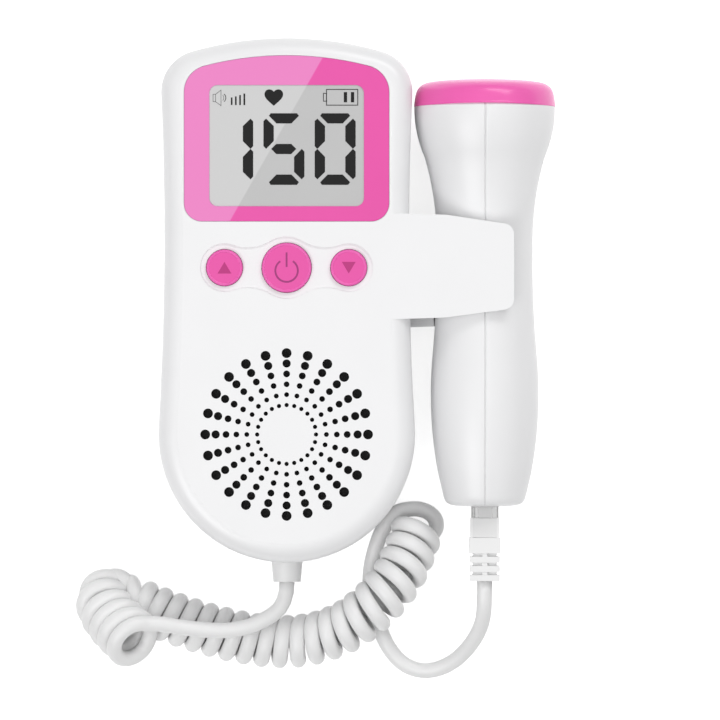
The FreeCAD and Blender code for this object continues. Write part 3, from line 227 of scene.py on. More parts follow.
def through_four(a, b, c, d, t):
    """A point between b and c on the smooth line through all four."""
    square, cube = 2 * a - 5 * b + 4 * c - d, 3 * b - a - 3 * c + d
    return (2 * b + (c - a) * t + square * t**2 + cube * t**3) / 2


def ring_line():
    """For each point of the middle line: its ring's facing and radius, and the turns made so far."""
    line = []
    rings = [END_RINGS[0]] + END_RINGS + [END_RINGS[-1]]
    last_ring = len(END_RINGS) - 1
    steps = 4 * TURN_POINTS
    for i in range(last_ring):
        for t in (k / steps for k in range(steps)):
            centre, way = (through_four(*(ring[j] for ring in rings[i:i + 4]), t) for j in (0, 1))
            taper = max(0, (i + t - END_TAPER) / (last_ring - END_TAPER))
            radius = END_RADIUS + (COIL_RADIUS - END_RADIUS) * taper
            line.append((centre, way.normalized(), radius, i + t))
    turns = last_ring
    for k, (before, here, after) in enumerate(zip(AXIS_LINE[:1] + AXIS_LINE, AXIS_LINE, AXIS_LINE[1:])):
        turns += (here - before).length / (PITCH * (1 + END_STRETCH * k / len(AXIS_LINE)))
        line.append((here, (after - here).normalized(), COIL_RADIUS, turns))
    return line


def coil_points():
    """A left-handed helix through the rings of the raised end and along the main coil."""
    line = ring_line()
    side = Vector((1, 0, 0))
    points = []
    for (here, way, radius, turns), (after, _, _, more) in zip(line, line[1:]):
        side = next_side(side, way)
        other = way.cross(side)
        due = math.ceil(turns * TURN_POINTS - ROUNDING) / TURN_POINTS
        while due < min(more, LAST_TURN) - ROUNDING:
            centre = here.lerp(after, (due - turns) / (more - turns))
            angle = START_ANGLE + 2 * math.pi * due
            points.append(centre + radius * (side * math.cos(angle) - other * math.sin(angle)))
            due += 1 / TURN_POINTS
    return points


COIL_LINE = coil_points()
print(f"{len(COIL_LINE)} points in {LAST_TURN} turns of {2 * COIL_RADIUS / MM:.1f} mm across")

# %% [markdown]
# ## The cord itself
# A curve with a round bevel would make the tube too, but its rings twist at tight turns. So the
# tube is swept as a mesh, ring by ring along the line.

CORD_SIDES = 18
FIRST_SIDE = Vector((1, 0.1, 0.2))


def mesh_object(name, bm, smooth=True):
    """Turns a finished bmesh into a piece of the scene."""
    bmesh.ops.recalc_face_normals(bm, faces=bm.faces)
    mesh = bpy.data.meshes.new(name)
    bm.to_mesh(mesh)
    bm.free()
    if smooth:
        mesh.shade_smooth()
    piece = bpy.data.objects.new(name, mesh)
    SCENE.collection.objects.link(piece)
    return piece


def join_rings(bm, rings):
    """Faces between each ring of points and the next."""
    for ring, after in zip(rings, rings[1:]):
        for k in range(len(ring)):
            j = (k + 1) % len(ring)
            bm.faces.new((ring[k], ring[j], after[j], after[k]))


def sweep(name, points, radius):
    """A round tube along points, closed at both ends."""
    bm = bmesh.new()
    rings = []
    side = FIRST_SIDE
    for before, point, after in zip([points[0]] + points, points, points[1:] + [points[-1]]):
        way = (after - before).normalized()
        side = next_side(side, way)
        other = way.cross(side)
        rings.append([
            bm.verts.new(point + radius * (side * math.cos(a) + other * math.sin(a)))
            for a in (2 * math.pi * k / CORD_SIDES for k in range(CORD_SIDES))
        ])
    join_rings(bm, rings)
    bm.faces.new(list(reversed(rings[0])))
    bm.faces.new(rings[-1])
    return mesh_object(name, bm)


def make_cord():
    """The whole lead, from the gland to the plug's boot."""
    path = line_of(nurbs("CordRoute", LEAD_ROUTE + COIL_LINE + TAIL_ROUTE))
    cord = sweep("curly_cord", path, CORD_DIAMETER / 2)
    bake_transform(cord)
    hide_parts("cord_lead", "cord_coil", "cord_tail")
    print(f"cord length {length_of(path):.3f} m, {len(path)} points")
    return cord


CURLY_CORD = make_cord()

# %% [markdown]
# ## Colours and nodes
# A hex colour is what a screen shows, and Blender mixes light in linear numbers, so one function
# turns each colour over. A material is a small network of nodes, which is hard to read when written
# out in full. So one function fills any sockets, each with a value or from another node, and one
# adds any node.

# %% Turn hex to linear, and add a node
def linear(value):
    """One channel from screen value to linear light, by the curve of the sRGB standard."""
    return value / 12.92 if value <= 0.04045 else ((value + 0.055) / 1.055) ** 2.4


def colour(code):
    """A linear colour from a hex code as seen on a screen."""
    return (*(linear(int(code[i:i + 2], 16) / 255) for i in (1, 3, 5)), 1.0)


def fill(tree, node, inputs):
    """Sets each socket to a value, or links it from another node's output."""
    for socket, value in inputs.items():
        if isinstance(value, bpy.types.NodeSocket):
            tree.links.new(value, node.inputs[socket])
        else:
            node.inputs[socket].default_value = value


def add_node(tree, kind, inputs=None, **settings):
    """Adds one node, with its settings and its inputs."""
    node = tree.nodes.new("ShaderNode" + kind)
    for name, value in settings.items():
        setattr(node, name, value)
    fill(tree, node, inputs or {})
    return node


print("mid grey #808080 is", round(colour("#808080")[0], 3), "in linear light")

# %% [markdown]
# ## A finish for moulded and printed surfaces
# No moulded surface is one flat colour. The melt cools unevenly, which leaves clouds a centimetre
# or two wide that are hardly darker, and the mould's own texture is pressed into the skin. So each
# finish mixes its colour with a slightly darker one by a wide noise, and bends the light by a fine
# noise through a bump. Both sizes are in millimetres. A texture finer than about half a millimetre
# vanishes at this distance, so it is drawn that much coarser, and the text over each group says so.
# Gloss and other even numbers stay on the shader.

# %% Make a finish
GRAIN_RISE = 0.0002
CLOUD_FROM = 0.3
CLOUD_TO = 0.7


def finish(name, code, roughness, grain_mm=1.1, grain=0.02, cloud_mm=16.7, uneven=0.03, **sockets):
    """A surface whose colour drifts by the share uneven over cloud_mm, with a grain of grain_mm."""
    material = bpy.data.materials.new(name)
    material.use_nodes = True
    tree = material.node_tree
    place = add_node(tree, "TexCoord").outputs["Object"]
    cloud = add_node(tree, "TexNoise", {"Vector": place, "Scale": 1 / (cloud_mm * MM), "Detail": 3.0})
    share = add_node(tree, "MapRange", {"Value": cloud.outputs["Fac"], "From Min": CLOUD_FROM,
                                        "From Max": CLOUD_TO})
    bright = colour(code)
    dark = (*(c * (1 - uneven) for c in bright[:3]), 1.0)
    tint = add_node(tree, "Mix", {"Factor": share.outputs["Result"], "A": dark, "B": bright},
                    data_type="RGBA")
    fine = add_node(tree, "TexNoise", {"Vector": place, "Scale": 1 / (grain_mm * MM), "Detail": 2.0})
    bump = add_node(tree, "Bump", {"Height": fine.outputs["Fac"], "Strength": grain,
                                   "Distance": GRAIN_RISE})
    even = {socket.replace("_", " "): value for socket, value in sockets.items()}
    fill(tree, tree.nodes["Principled BSDF"], {
        "Base Color": tint.outputs["Result"], "Normal": bump.outputs["Normal"],
        "Roughness": roughness, **even,
    })
    print(f"finish {name}: {code}, roughness {roughness}")
    return material


# %% [markdown]
# ## White shells
# The unit and the probe are injection-moulded ABS, the tough plastic of most small appliances. The
# unit's mould is polished, so its skin mirrors soft lamps in its round edges. The probe is held in
# the hand, so its mould is left a little duller. Both are near white, never pure white, or their
# edges would melt into a white background. A polished mould's ripples are some tenths of a
# millimetre wide, and are drawn at 1.1 mm.

# %% Finish the white shells
# Polished ABS: a bright, almost even skin with sharp-edged soft highlights.
GLOSS_ABS = finish("polished_moulded_abs", "#efeff0", 0.30, grain=0.03, uneven=0.015)
# Satin ABS: the same white with wider, softer highlights along the handle.
SATIN_ABS = finish("satin_moulded_abs", "#efeff0", 0.36, grain=0.05, uneven=0.015)

# %% [markdown]
# ## Pink film, keys and cap
# The pink round the display is ink on the back of a clear polyester film, which gives an even
# colour with a soft gloss. The keys are ABS with pigment in it, from a mould with a spark-eroded
# grain. That grain is under a tenth of a millimetre wide, and is drawn at 0.7 mm. Their signs are
# pad-printed in a darker pink. The cap on the probe's face is lacquered, so a second clear layer
# lies on its colour. That is the shader's coat: it puts a sharper highlight on a softer one, and
# turns pale where the cap curves out of sight.

# %% Finish the pink pieces
# Printed film: flat strong pink, a mat sheen, hardly any grain.
# A painted reflection, the glare band, is added to this film further down.
PINK_FILM = finish("pink_printed_film", "#ea50aa", 0.5, grain=0.01)
# Pigmented ABS: the same pink, dulled by its grain, so the keys look drier than the film.
PINK_ABS = finish("pink_moulded_abs", "#ea50a9", 0.45, grain_mm=0.67, grain=0.05)
# The keys' rims are a lighter pink than the keys: a painted highlight along the thin lip, which is
# also a little smoother.
PINK_RIM_PAINTED_HIGHLIGHT = finish("pink_abs_painted_rim_highlight", "#ee60b4", 0.4, grain=0.03)
# Pad-printing ink: thin, dull, darker than what it lies on.
DARK_PINK_INK = finish("dark_pink_pad_ink", "#a23078", 0.55)
PINK_INK = finish("pink_pad_ink", "#bd2c7e", 0.55)
# Lacquered ABS: deep pink under a clear coat, with a wide highlight below the crown's edge.
LACQUERED_PINK = finish("lacquered_pink_abs", "#f45cb4", 0.6, grain=0.03, Coat_Weight=0.7,
                        Coat_Roughness=0.22)

# %% [markdown]
# ## Lead and plug
# The lead's sheath is soft PVC, coiled hot, with a dull shine like rubber. Its skin has drag marks
# from the extruder about a millimetre long, and they are drawn at 1.7 mm. The boot is thermoplastic
# rubber, a little duller. The collar is nylon. The plug's housing is clear polycarbonate with an
# IOR of 1.58: it lets half of the light through and shows grey where its walls are seen edge on.
# That grey is painted shade: the latch gets an opaque grey of its own, and the wall edges dark strips.

# %% Finish the lead and the plug
# Soft PVC: white, with a broad dull highlight on every turn.
PVC_SHEATH = finish("extruded_soft_pvc", "#ededed", 0.40, grain_mm=1.67, grain=0.05)
# Thermoplastic rubber: the dullest white here.
TPE_BOOT = finish("moulded_tpe", "#eeeeee", 0.48, grain_mm=1.43, grain=0.06)
# Natural nylon: a greyer, slightly waxy white.
NYLON = finish("moulded_nylon", "#e6e6e6", 0.45, grain=0.05)
# Clear polycarbonate: glassy, with the contacts faintly seen through it.
CLEAR_PC = finish("clear_polycarbonate", "#d8d8d8", 0.12, grain=0.01, Transmission_Weight=0.55,
                  IOR=1.58)
# The latch is a real part, and its opaque grey is painted shade for the clear plastic seen through.
CLEAR_PC_LATCH_PAINTED_SHADE = finish("clear_polycarbonate_latch_painted_shade", "#d0d0d0", 0.25, grain=0.01)
# Dark strips of painted shade where the clear walls are seen edge on.
PAINTED_WALL_SHADE = finish("painted_polycarbonate_wall_shade", "#8f8f8f", 0.4, grain=0.01)

# %% [markdown]
# ## Display
# A liquid crystal panel without a backlight lit is a grey mirror behind a polariser, and its
# segments are black where the crystal is switched on. The glass is smooth, so it has no grain.

# %% Finish the display
# A painted reflection, the glare band, is added to this glass further down.
LCD_GLASS = finish("polarised_lcd_glass", "#bcbcbc", 0.25, grain=0.0)
# A lit segment is seen through the same glass, so it has half the gloss of a piece in the open.
LCD_BLACK = finish("lcd_segment", "#121212", 0.5, Specular_IOR_Level=0.25)
# Segments thinner than a fifth of a millimetre let light past their edges, so they look grey.
LCD_THIN = finish("lcd_thin_segment", "#3c3c3c", 0.5, Specular_IOR_Level=0.25)

# %% [markdown]
# ## Painted glare across the display
# The film's gloss shows a lighter band over the upper left of the display, cut off along a slanted
# line: a reflection. A lamp's reflection would slide away as soon as the view turned, so the band is
# a painted reflection in the finish: each point is measured across the line, and is lighter on one
# side of it.

# %% Paint the glare band on the film and the glass
PAINTED_GLARE_FOOT = mm(-15.7, 21.5, 0)
PAINTED_GLARE_TOP = mm(9.9, 66.6, 0)
PAINTED_GLARE_EDGE = 0.0002


def add_painted_glare_band(material, code):
    """Paints a glare: lightens a material to this colour on the far side of the slanted line."""
    tree = material.node_tree
    base = tree.nodes["Principled BSDF"].inputs["Base Color"]
    along = (PAINTED_GLARE_TOP - PAINTED_GLARE_FOOT).normalized()
    across = Vector((-along.y, along.x, 0))
    line = across.dot(PAINTED_GLARE_FOOT)
    place = add_node(tree, "TexCoord").outputs["Object"]
    side = add_node(tree, "VectorMath", {0: place, 1: across}, operation="DOT_PRODUCT")
    share = add_node(tree, "MapRange", {"Value": side.outputs["Value"], "From Min": line - PAINTED_GLARE_EDGE,
                                        "From Max": line + PAINTED_GLARE_EDGE})
    mix = add_node(tree, "Mix", {"Factor": share.outputs["Result"], "A": base.links[0].from_socket,
                                 "B": colour(code)}, data_type="RGBA")
    tree.links.new(mix.outputs["Result"], base)
    slant = math.degrees(math.atan2(along.y, along.x))
    print(f"sheen on {material.name}, {slant:.0f} degrees from level")


# The lighter band on the film and the glass is a painted reflection.
add_painted_glare_band(PINK_FILM, "#ec82c4")
add_painted_glare_band(LCD_GLASS, "#cacaca")

# %% [markdown]
# ## Inside of the unit and the probe
# Little of the inside shows: the black cloth behind the grille, and what comes into view when the
# door or the probe moves. Each still has the stuff that it is made of, because the part may be
# opened or cut. Metals are fully metallic and keep the shader's own IOR. The cloth's threads are a
# tenth of a millimetre apart and are drawn at 0.4 mm, so that it reads as cloth and not as a hole.
# Every other grain here is finer than half a millimetre too, and is drawn at 1.1 mm.

# %% Finish the inside
# Woven polyester: black and without any shine.
BLACK_CLOTH = finish("woven_dust_cloth", "#121212", 0.95, grain_mm=0.4, grain=0.6)
# Black moulded PBT of chips and sockets: dull black with a hint of grey.
BLACK_PBT = finish("moulded_black_pbt", "#161616", 0.5, grain=0.1)
# Diffusing acrylic: milky white.
OPAL_ACRYLIC = finish("opal_acrylic", "#e6e6e0", 0.4)
# Silicone rubber strips: grey and dry.
GREY_SILICONE = finish("conductive_silicone", "#9a9a94", 0.7)
# Solder mask on glass-fibre board: dark green lacquer, blotchy where copper lies under it.
SOLDER_MASK = finish("green_solder_mask", "#1d5c33", 0.35, uneven=0.15, cloud_mm=2.5)
# Nickel-plated steel: grey metal with faint rolling clouds.
NICKEL_STEEL = finish("nickel_plated_steel", "#b9bbbd", 0.3, Metallic=1.0, uneven=0.08, cloud_mm=3.33)
# Sintered ferrite: charcoal, rough as a fired pot.
FERRITE = finish("sintered_ferrite", "#2b2b2d", 0.6, grain=0.3)
# Pulp cone: dark, fibrous and mat.
CONE_PAPER = finish("pressed_paper_cone", "#2a2826", 0.85, grain=0.5)
# Shrink sleeve of the batteries: glossy plastic film in a plain blue.
BATTERY_SLEEVE = finish("shrunk_pvc_sleeve", "#2f5d78", 0.3)
# Gold over nickel: a warm bright metal on the plug's blades.
GOLD_PLATE = finish("gold_plated_bronze", "#d9b25c", 0.25, Metallic=1.0)
# Fired ceramic of the two crystals: pale sand colour, dull.
PIEZO_CERAMIC = finish("fired_piezo_ceramic", "#cdbf9f", 0.5, grain=0.1)
# Epoxy with tungsten powder behind them: dark grey, grainy.
FILLED_EPOXY = finish("cast_filled_epoxy", "#4a4a4e", 0.6, grain=0.2)
# Insulation of the thin wires: red PVC.
WIRE_PVC = finish("red_wire_pvc", "#a02020", 0.45)

# %% [markdown]
# ## Which node wears which finish
# A node keeps its own mesh and only gets a new material. One table is easier to check than forty
# single lines, and the print tells whether a node was forgotten.

# %% Dress the nodes and the cord
WORN_BY = {
    GLOSS_ABS: "front_shell rear_shell battery_door",
    SATIN_ABS: "probe_shell_left probe_shell_right",
    LCD_GLASS: "lcd_panel",
    OPAL_ACRYLIC: "lcd_backlight",
    GREY_SILICONE: "lcd_connector_strips",
    SOLDER_MASK: "main_circuit_board probe_circuit_board",
    BLACK_PBT: "board_components probe_jack",
    NICKEL_STEEL: "button_switches speaker_frame case_screws battery_contacts battery_springs",
    BLACK_CLOTH: "speaker_cloth",
    CONE_PAPER: "speaker_cone",
    FERRITE: "speaker_magnet",
    BATTERY_SLEEVE: "battery_left battery_right",
    WIRE_PVC: "speaker_wires probe_wires",
    PIEZO_CERAMIC: "transmit_crystal receive_crystal",
    FILLED_EPOXY: "crystal_backing",
    LACQUERED_PINK: "probe_face_cap",
    PINK_ABS: "power_button volume_up_button volume_down_button",
    PINK_FILM: "display_lens",
    PVC_SHEATH: "cord_gland cord_lead cord_coil cord_tail",
    TPE_BOOT: "plug_boot",
    NYLON: "plug_collar",
    CLEAR_PC: "plug_housing",
    GOLD_PLATE: "plug_contacts",
}


def dress(piece, material):
    """Gives a piece this finish alone."""
    piece.data.materials.clear()
    piece.data.materials.append(material)
    return piece


for material, names in WORN_BY.items():
    for name in names.split():
        dress(NODES[name], material)
dress(CURLY_CORD, PVC_SHEATH)
print("nodes without a finish:", set(NODES) - set(" ".join(WORN_BY.values()).split()) or "none")

# %% [markdown]
# ## Flat pieces
# Film, glass, segments and printed signs are all thin flat pieces with an outline. A plane with a
# picture on it would be quicker, but it has no edge and looks soft close up. So each outline is
# raised to a real thickness: walls all round, and the two ends filled with triangles, round any
# holes. Outlines run counter-clockwise, and holes the other way.

# %% Raise an outline into a thin piece
def add_prism(bm, outline, low, high, holes=()):
    """A flat piece with this outline between two heights, with holes of outlines of their own."""
    def wall(points, inward):
        ring = [(bm.verts.new((x, y, low)), bm.verts.new((x, y, high))) for x, y in points]
        for (a, a_top), (b, b_top) in zip(ring, ring[1:] + ring[:1]):
            bm.faces.new((b, a, a_top, b_top) if inward else (a, b, b_top, a_top))
        return ring

    rings = [wall(outline, False)] + [wall(hole, True) for hole in holes]
    for level in (0, 1):
        edges = [
            bm.edges.get((ring[i][level], ring[(i + 1) % len(ring)][level]))
            for ring in rings for i in range(len(ring))
        ]
        bmesh.ops.triangle_fill(bm, edges=edges, use_beauty=True, use_dissolve=False)


def flat_piece(name, outlines, low, high, material, body="unit", holes=()):
    """One piece from several outlines, riding on a body."""
    bm = bmesh.new()
    for outline in outlines:
        add_prism(bm, outline, low, high, holes)
    piece = dress(mesh_object(name, bm, smooth=False), material)
    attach(piece, body)
    print(f"{name}: {len(outlines)} outlines, {(high - low) / MM:.2f} mm thick")
    return piece


# %% [markdown]
# ## Display film and glass
# On the real unit a printed film lies in a shallow recess of the front and leaves a clear window
# with small round corners. Under the window lies the glass. The film's outer line is that of the
# lens node, an arch at its top, so it is read from that node's upper face. The film then stands for
# the node, and the glass fills the window a quarter of a millimetre lower, which gives the window
# its fine dark edge.

# %% Cut the film and lay the glass
WINDOW_LOW = (-0.0213, 0.0257)
WINDOW_HIGH = (0.0213, 0.0591)
WINDOW_CORNER = 0.0023
GLASS_DROP = 0.00025
GLASS_GAP = 0.00002
LEVEL_WITHIN = 1e-5
ANGLE_DIGITS = 4


def arc_points(centre, radius, start, end, steps):
    """Points on an arc between two angles in degrees."""
    angles = [math.radians(start + (end - start) * k / steps) for k in range(steps + 1)]
    return [(centre[0] + radius * math.cos(a), centre[1] + radius * math.sin(a)) for a in angles]


def round_box_points(low, high, radius, steps=8):
    """A rectangle with round corners, counter-clockwise."""
    (left, right), (bottom, top) = ((a + radius, b - radius) for a, b in zip(low, high))
    corners = (((right, bottom), 270), ((right, top), 0), ((left, top), 90), ((left, bottom), 180))
    return [point for centre, start in corners
            for point in arc_points(centre, radius, start, start + 90, steps)]


def top_outline(node):
    """The outer line of a convex node's top face."""
    points = [v.co for v in NODES[node].data.vertices]
    top = max(p.z for p in points)
    edge = [(p.x, p.y) for p in points if p.z > top - LEVEL_WITHIN]
    centre = (sum(x for x, _ in edge) / len(edge), sum(y for _, y in edge) / len(edge))
    hull = {}
    for x, y in edge:
        angle = round(math.atan2(y - centre[1], x - centre[0]), ANGLE_DIGITS)
        reach = math.hypot(x - centre[0], y - centre[1])
        hull[angle] = max(hull.get(angle, (0, 0, 0)), (reach, x, y))
    return [hull[angle][1:] for angle in sorted(hull)]


FILM_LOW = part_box("display_lens")[0][2]
GLASS_TOP = FACE_TOP - GLASS_DROP
window = round_box_points(WINDOW_LOW, WINDOW_HIGH, WINDOW_CORNER)
pane = round_box_points([v + GLASS_GAP for v in WINDOW_LOW], [v - GLASS_GAP for v in WINDOW_HIGH],
                        WINDOW_CORNER)
film = flat_piece("display_film", [top_outline("display_lens")], FILM_LOW, FACE_TOP, PINK_FILM,
                  holes=[window[::-1]])
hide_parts("display_lens")
flat_piece("display_glass", [pane], FILM_LOW, GLASS_TOP, LCD_GLASS)

# %% [markdown]
# ## Digits
# A digit on such a display is seven bars with pointed ends. The bars are drawn once, in a box a
# little over half as wide as it is high, and a table says which bars each digit lights. The number
# is a plain heart rate. The bars lie on the glass with almost no thickness, as the switched crystal
# is just under it.

# %% Lay the digits on the glass
INK = 0.00004
DIGIT_HEIGHT = 0.0197
DIGIT_STEP = 0.0141
DIGIT_RIGHT = 0.0190
DIGIT_TOP = 0.0513
BOX_WIDTH = 246
BOX_HEIGHT = 430
# Corners of each bar, right and down from the box's own corner.
BARS = {
    "a": ((43, 0), (201, 0), (213, 15), (168, 61), (78, 61), (33, 15)),
    "f": ((16, 32), (62, 77), (62, 167), (16, 214), (0, 197), (0, 47)),
    "e": ((16, 214), (62, 262), (62, 352), (16, 397), (0, 380), (0, 230)),
    "b": ((230, 32), (246, 49), (246, 197), (230, 214), (184, 167), (184, 77)),
    "c": ((230, 214), (246, 230), (246, 380), (230, 397), (184, 352), (184, 262)),
    "d": ((78, 368), (168, 368), (213, 414), (201, 430), (43, 430), (33, 414)),
    "g": ((77, 184), (167, 184), (197, 214), (167, 245), (77, 245), (47, 214)),
}
LIT_BARS = {"0": "abcdef", "1": "bc", "5": "acdfg"}


def digit_outlines(number):
    """The lit bars of a number, its last digit at the right."""
    scale = DIGIT_HEIGHT / BOX_HEIGHT
    outlines = []
    for place, digit in enumerate(reversed(number)):
        left = DIGIT_RIGHT - BOX_WIDTH * scale - place * DIGIT_STEP
        outlines += [[(left + x * scale, DIGIT_TOP - y * scale) for x, y in BARS[bar]]
                     for bar in LIT_BARS[digit]]
    return outlines


flat_piece("display_digits", digit_outlines("150"), GLASS_TOP, GLASS_TOP + INK, LCD_BLACK)

# %% [markdown]
# ## Signs above the digits
# A loudspeaker with sound waves, four level bars, a heart and a battery stand in a row over the
# digits. They are small and lie on a fine grid, so they are written in steps of that grid, right
# and down from one corner. A drawn line has mitred corners, and a closed one has a piece for each
# side. Overlapping boxes would be simpler, but where flat pieces share a plane, the renderer can't
# tell which is in front, and the overlap turns black.

# %% Draw lines and curves for the signs
SIGN_STEP = 0.0290685
SIGN_PLACE = (-22.652, 59.669)


def signs(*points):
    """Points of the row of signs, from steps to metres."""
    left, top = SIGN_PLACE
    return [((left + x * SIGN_STEP) * MM, (top - y * SIGN_STEP) * MM) for x, y in points]


def sign_box(left, top, right, bottom):
    """A rectangle in steps, counter-clockwise."""
    return signs((left, top), (left, bottom), (right, bottom), (right, top))


def stroke(points, width, closed=False):
    """A line of even width with mitred corners: one outline, or one for each side if it is closed."""
    behind = (points[-1:] if closed else points[:1]) + points[:-1]
    ahead = points[1:] + (points[:1] if closed else points[-1:])
    left, right = [], []
    for before, here, after in zip(behind, points, ahead):
        ways = [Vector(b) - Vector(a) for a, b in ((before, here), (here, after)) if a != b]
        turns = [Vector((-way.y, way.x)).normalized() for way in ways]
        mitre = sum(turns, Vector((0, 0))).normalized()
        reach = width / 2 / mitre.dot(turns[0])
        left.append(tuple(Vector(here) + reach * mitre))
        right.append(tuple(Vector(here) - reach * mitre))
    if not closed:
        return [right + left[::-1]]
    left, right = left + left[:1], right + right[:1]
    return [[right[k], right[k + 1], left[k + 1], left[k]] for k in range(len(points))]


def bend_points(points, steps=8):
    """A smooth line through (x, y) points."""
    padded = [points[0]] + list(points) + [points[-1]]
    line = []
    for a, b, c, d in zip(padded, padded[1:], padded[2:], padded[3:]):
        four = [Vector(p) for p in (a, b, c, d)]
        line += [tuple(through_four(*four, k / steps)) for k in range(steps)]
    return line + [points[-1]]


print(f"one step of the signs' grid is {SIGN_STEP:.4f} mm")

# %% Lay the signs on the glass
THIN_LINE = 0.00022
CASE_LINE = THIN_LINE * 1.1
HORN_LINE = THIN_LINE * 0.55
LEVEL_BARS = [(252, 138, 267), (291, 128, 306), (331, 115, 346), (371, 101, 387)]
LEVEL_FOOT = 210
CHARGE_BARS = [(1321, 87, 1352, 184), (1388, 87, 1419, 184)]
BATTERY_CASE = (1157, 62, 1453, 211)
BATTERY_TIP = (1128, 99, 1157, 173)
HEART_LEFT = [(658, 84), (640, 68), (615, 62), (590, 69), (573, 91), (571, 117), (581, 142), (603, 168),
              (634, 196), (658, 217)]
SPEAKER_BOX = (83, 108, 107, 178)
SPEAKER_HORN = [(107, 108), (158, 68), (158, 216), (107, 178)]
SOUND_SOURCE = (158, 142)
# Reach and rise in steps, and weight of the line.
SOUND_WAVES = ((26, 32, 0.5), (46, 47, 0.9))
WAVE_ANGLES = [a / 10 for a in range(-9, 10, 3)]


def heart_points():
    """The heart's left half, and the same mirrored."""
    half = signs(*bend_points(HEART_LEFT))
    centre = 2 * half[0][0]
    return half + [(centre - x, y) for x, y in half[-2:0:-1]]


filled = [sign_box(left, top, right, LEVEL_FOOT) for left, top, right in LEVEL_BARS]
filled += [sign_box(*bar) for bar in CHARGE_BARS] + [heart_points()]
flat_piece("display_signs", filled, GLASS_TOP, GLASS_TOP + INK, LCD_BLACK)

drawn = stroke(sign_box(*BATTERY_CASE), CASE_LINE, closed=True)
drawn += stroke(sign_box(*BATTERY_TIP), THIN_LINE, closed=True)
drawn += stroke(sign_box(*SPEAKER_BOX), HORN_LINE, closed=True)
drawn += stroke(signs(*SPEAKER_HORN), HORN_LINE)
for reach, rise, weight in SOUND_WAVES:
    wave = [(SOUND_SOURCE[0] + reach * math.cos(a), SOUND_SOURCE[1] + rise * math.sin(a))
            for a in WAVE_ANGLES]
    drawn += stroke(signs(*wave), THIN_LINE * weight)
flat_piece("display_sign_lines", drawn, GLASS_TOP, GLASS_TOP + INK, LCD_THIN)

# %% [markdown]
# ## Turned rims round the keys
# Each key has a thin raised lip round its flat face. It is round, so the way to make it is a lathe:
# one profile, a few points from the key's centre outwards, turned round the key's axis. The rim
# rides on its own key, so it goes down with it when the key is pressed.

# %% Turn the rims
KEY_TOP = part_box("power_button")[1].z
LATHE_SIDES = 96
POWER_KEY_RADIUS = 0.0067
SMALL_KEY_RADIUS = 0.0049
# Out from the key's radius, and up from its face, in mm.
RIM_PROFILE = [(-0.75, -0.10), (-0.62, 0.05), (-0.38, 0.13), (-0.13, 0.10), (0.06, -0.06), (0.11, -0.3),
               (0.11, -0.7), (-0.75, -0.7)]


def turned_point(centre, axis, radius, along, angle):
    """A point at this radius and angle round the Z or the Y axis through centre."""
    across, up = radius * math.cos(angle), radius * math.sin(angle)
    if axis == "Z":
        return centre + Vector((across, up, along))
    return centre + Vector((across, along, up))


def key_rim(node, radius, body):
    """The lip round a key's face, and where the key is."""
    at = middle(node)
    bm = bmesh.new()
    centre = Vector((at.x, at.y, KEY_TOP))
    angles = [2 * math.pi * k / LATHE_SIDES for k in range(LATHE_SIDES)]
    rings = [[bm.verts.new(turned_point(centre, "Z", radius + x * MM, z * MM, a)) for a in angles]
             for x, z in RIM_PROFILE]
    join_rings(bm, rings + rings[:1])
    rim = mesh_object(f"{node}_rim", bm)
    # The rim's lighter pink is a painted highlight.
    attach(dress(rim, PINK_RIM_PAINTED_HIGHLIGHT), body)
    print(f"{node}_rim: {2 * radius / MM:.1f} mm across")
    return at


POWER = key_rim("power_button", POWER_KEY_RADIUS, "power_key")
UP = key_rim("volume_up_button", SMALL_KEY_RADIUS, "volume_up_key")
DOWN = key_rim("volume_down_button", SMALL_KEY_RADIUS, "volume_down_key")

# %% [markdown]
# ## Printed signs on the keys
# The power key has the usual broken ring with a line in its gap, and the two small keys a triangle
# up and down. They are printed, so they are flat pieces a few hundredths of a millimetre high that
# start just inside the key, or a gap would show under them.

# %% Print the signs
SIGN_SINK = 0.00002
POWER_RING = 0.0031
POWER_RING_DROP = 0.0008
POWER_RING_TURN = (124, 416)
POWER_LINE = 0.0005
POWER_LINE_SPAN = (0.0002, 0.0042)
ARROW_HALF_WIDTH = 0.0019
ARROW_RISE = 0.0016


def key_sign(name, outlines, body, material):
    """Ink on a key's face."""
    return flat_piece(name, outlines, KEY_TOP - SIGN_SINK, KEY_TOP + INK, material, body)


def arrow(centre, way):
    """A triangle that points up where way is 1 and down where it is -1, counter-clockwise."""
    foot, tip = centre.y - way * ARROW_RISE, centre.y + way * ARROW_RISE
    points = [(centre.x - ARROW_HALF_WIDTH, foot), (centre.x + ARROW_HALF_WIDTH, foot), (centre.x, tip)]
    return points[::way]


ring = arc_points((POWER.x, POWER.y - POWER_RING_DROP), POWER_RING, *POWER_RING_TURN, steps=40)
power_lines = stroke(ring, POWER_LINE)
power_lines += stroke([(POWER.x, POWER.y + rise) for rise in POWER_LINE_SPAN], POWER_LINE)
key_sign("power_sign", power_lines, "power_key", DARK_PINK_INK)
key_sign("volume_up_sign", [arrow(UP, 1)], "volume_up_key", PINK_INK)
key_sign("volume_down_sign", [arrow(DOWN, -1)], "volume_down_key", PINK_INK)

# %% [markdown]
# ## Handle of the probe
# The handle is moulded in two halves that meet along its front and back, and the seam shows as a
# fine groove. Its shape is round all the way, wide at the face, narrow in the middle and full in
# the palm. So it is a lathe shape again, but only half of it for each piece, with its edges pulled
# in by a third of a millimetre over the last few degrees: two of these side by side give the groove
# without cutting anything. Along the probe the skin is four arcs, each from one width to the next,
# worked out from their ends and bends. Inside, the wall is two millimetres thick. The foot is
# slightly domed and closes in to the socket's opening.

# %% Turn the two halves
PROBE_WALL = 2.0
SOCKET_RADIUS = 4.2
FOOT_TOP = -56.2
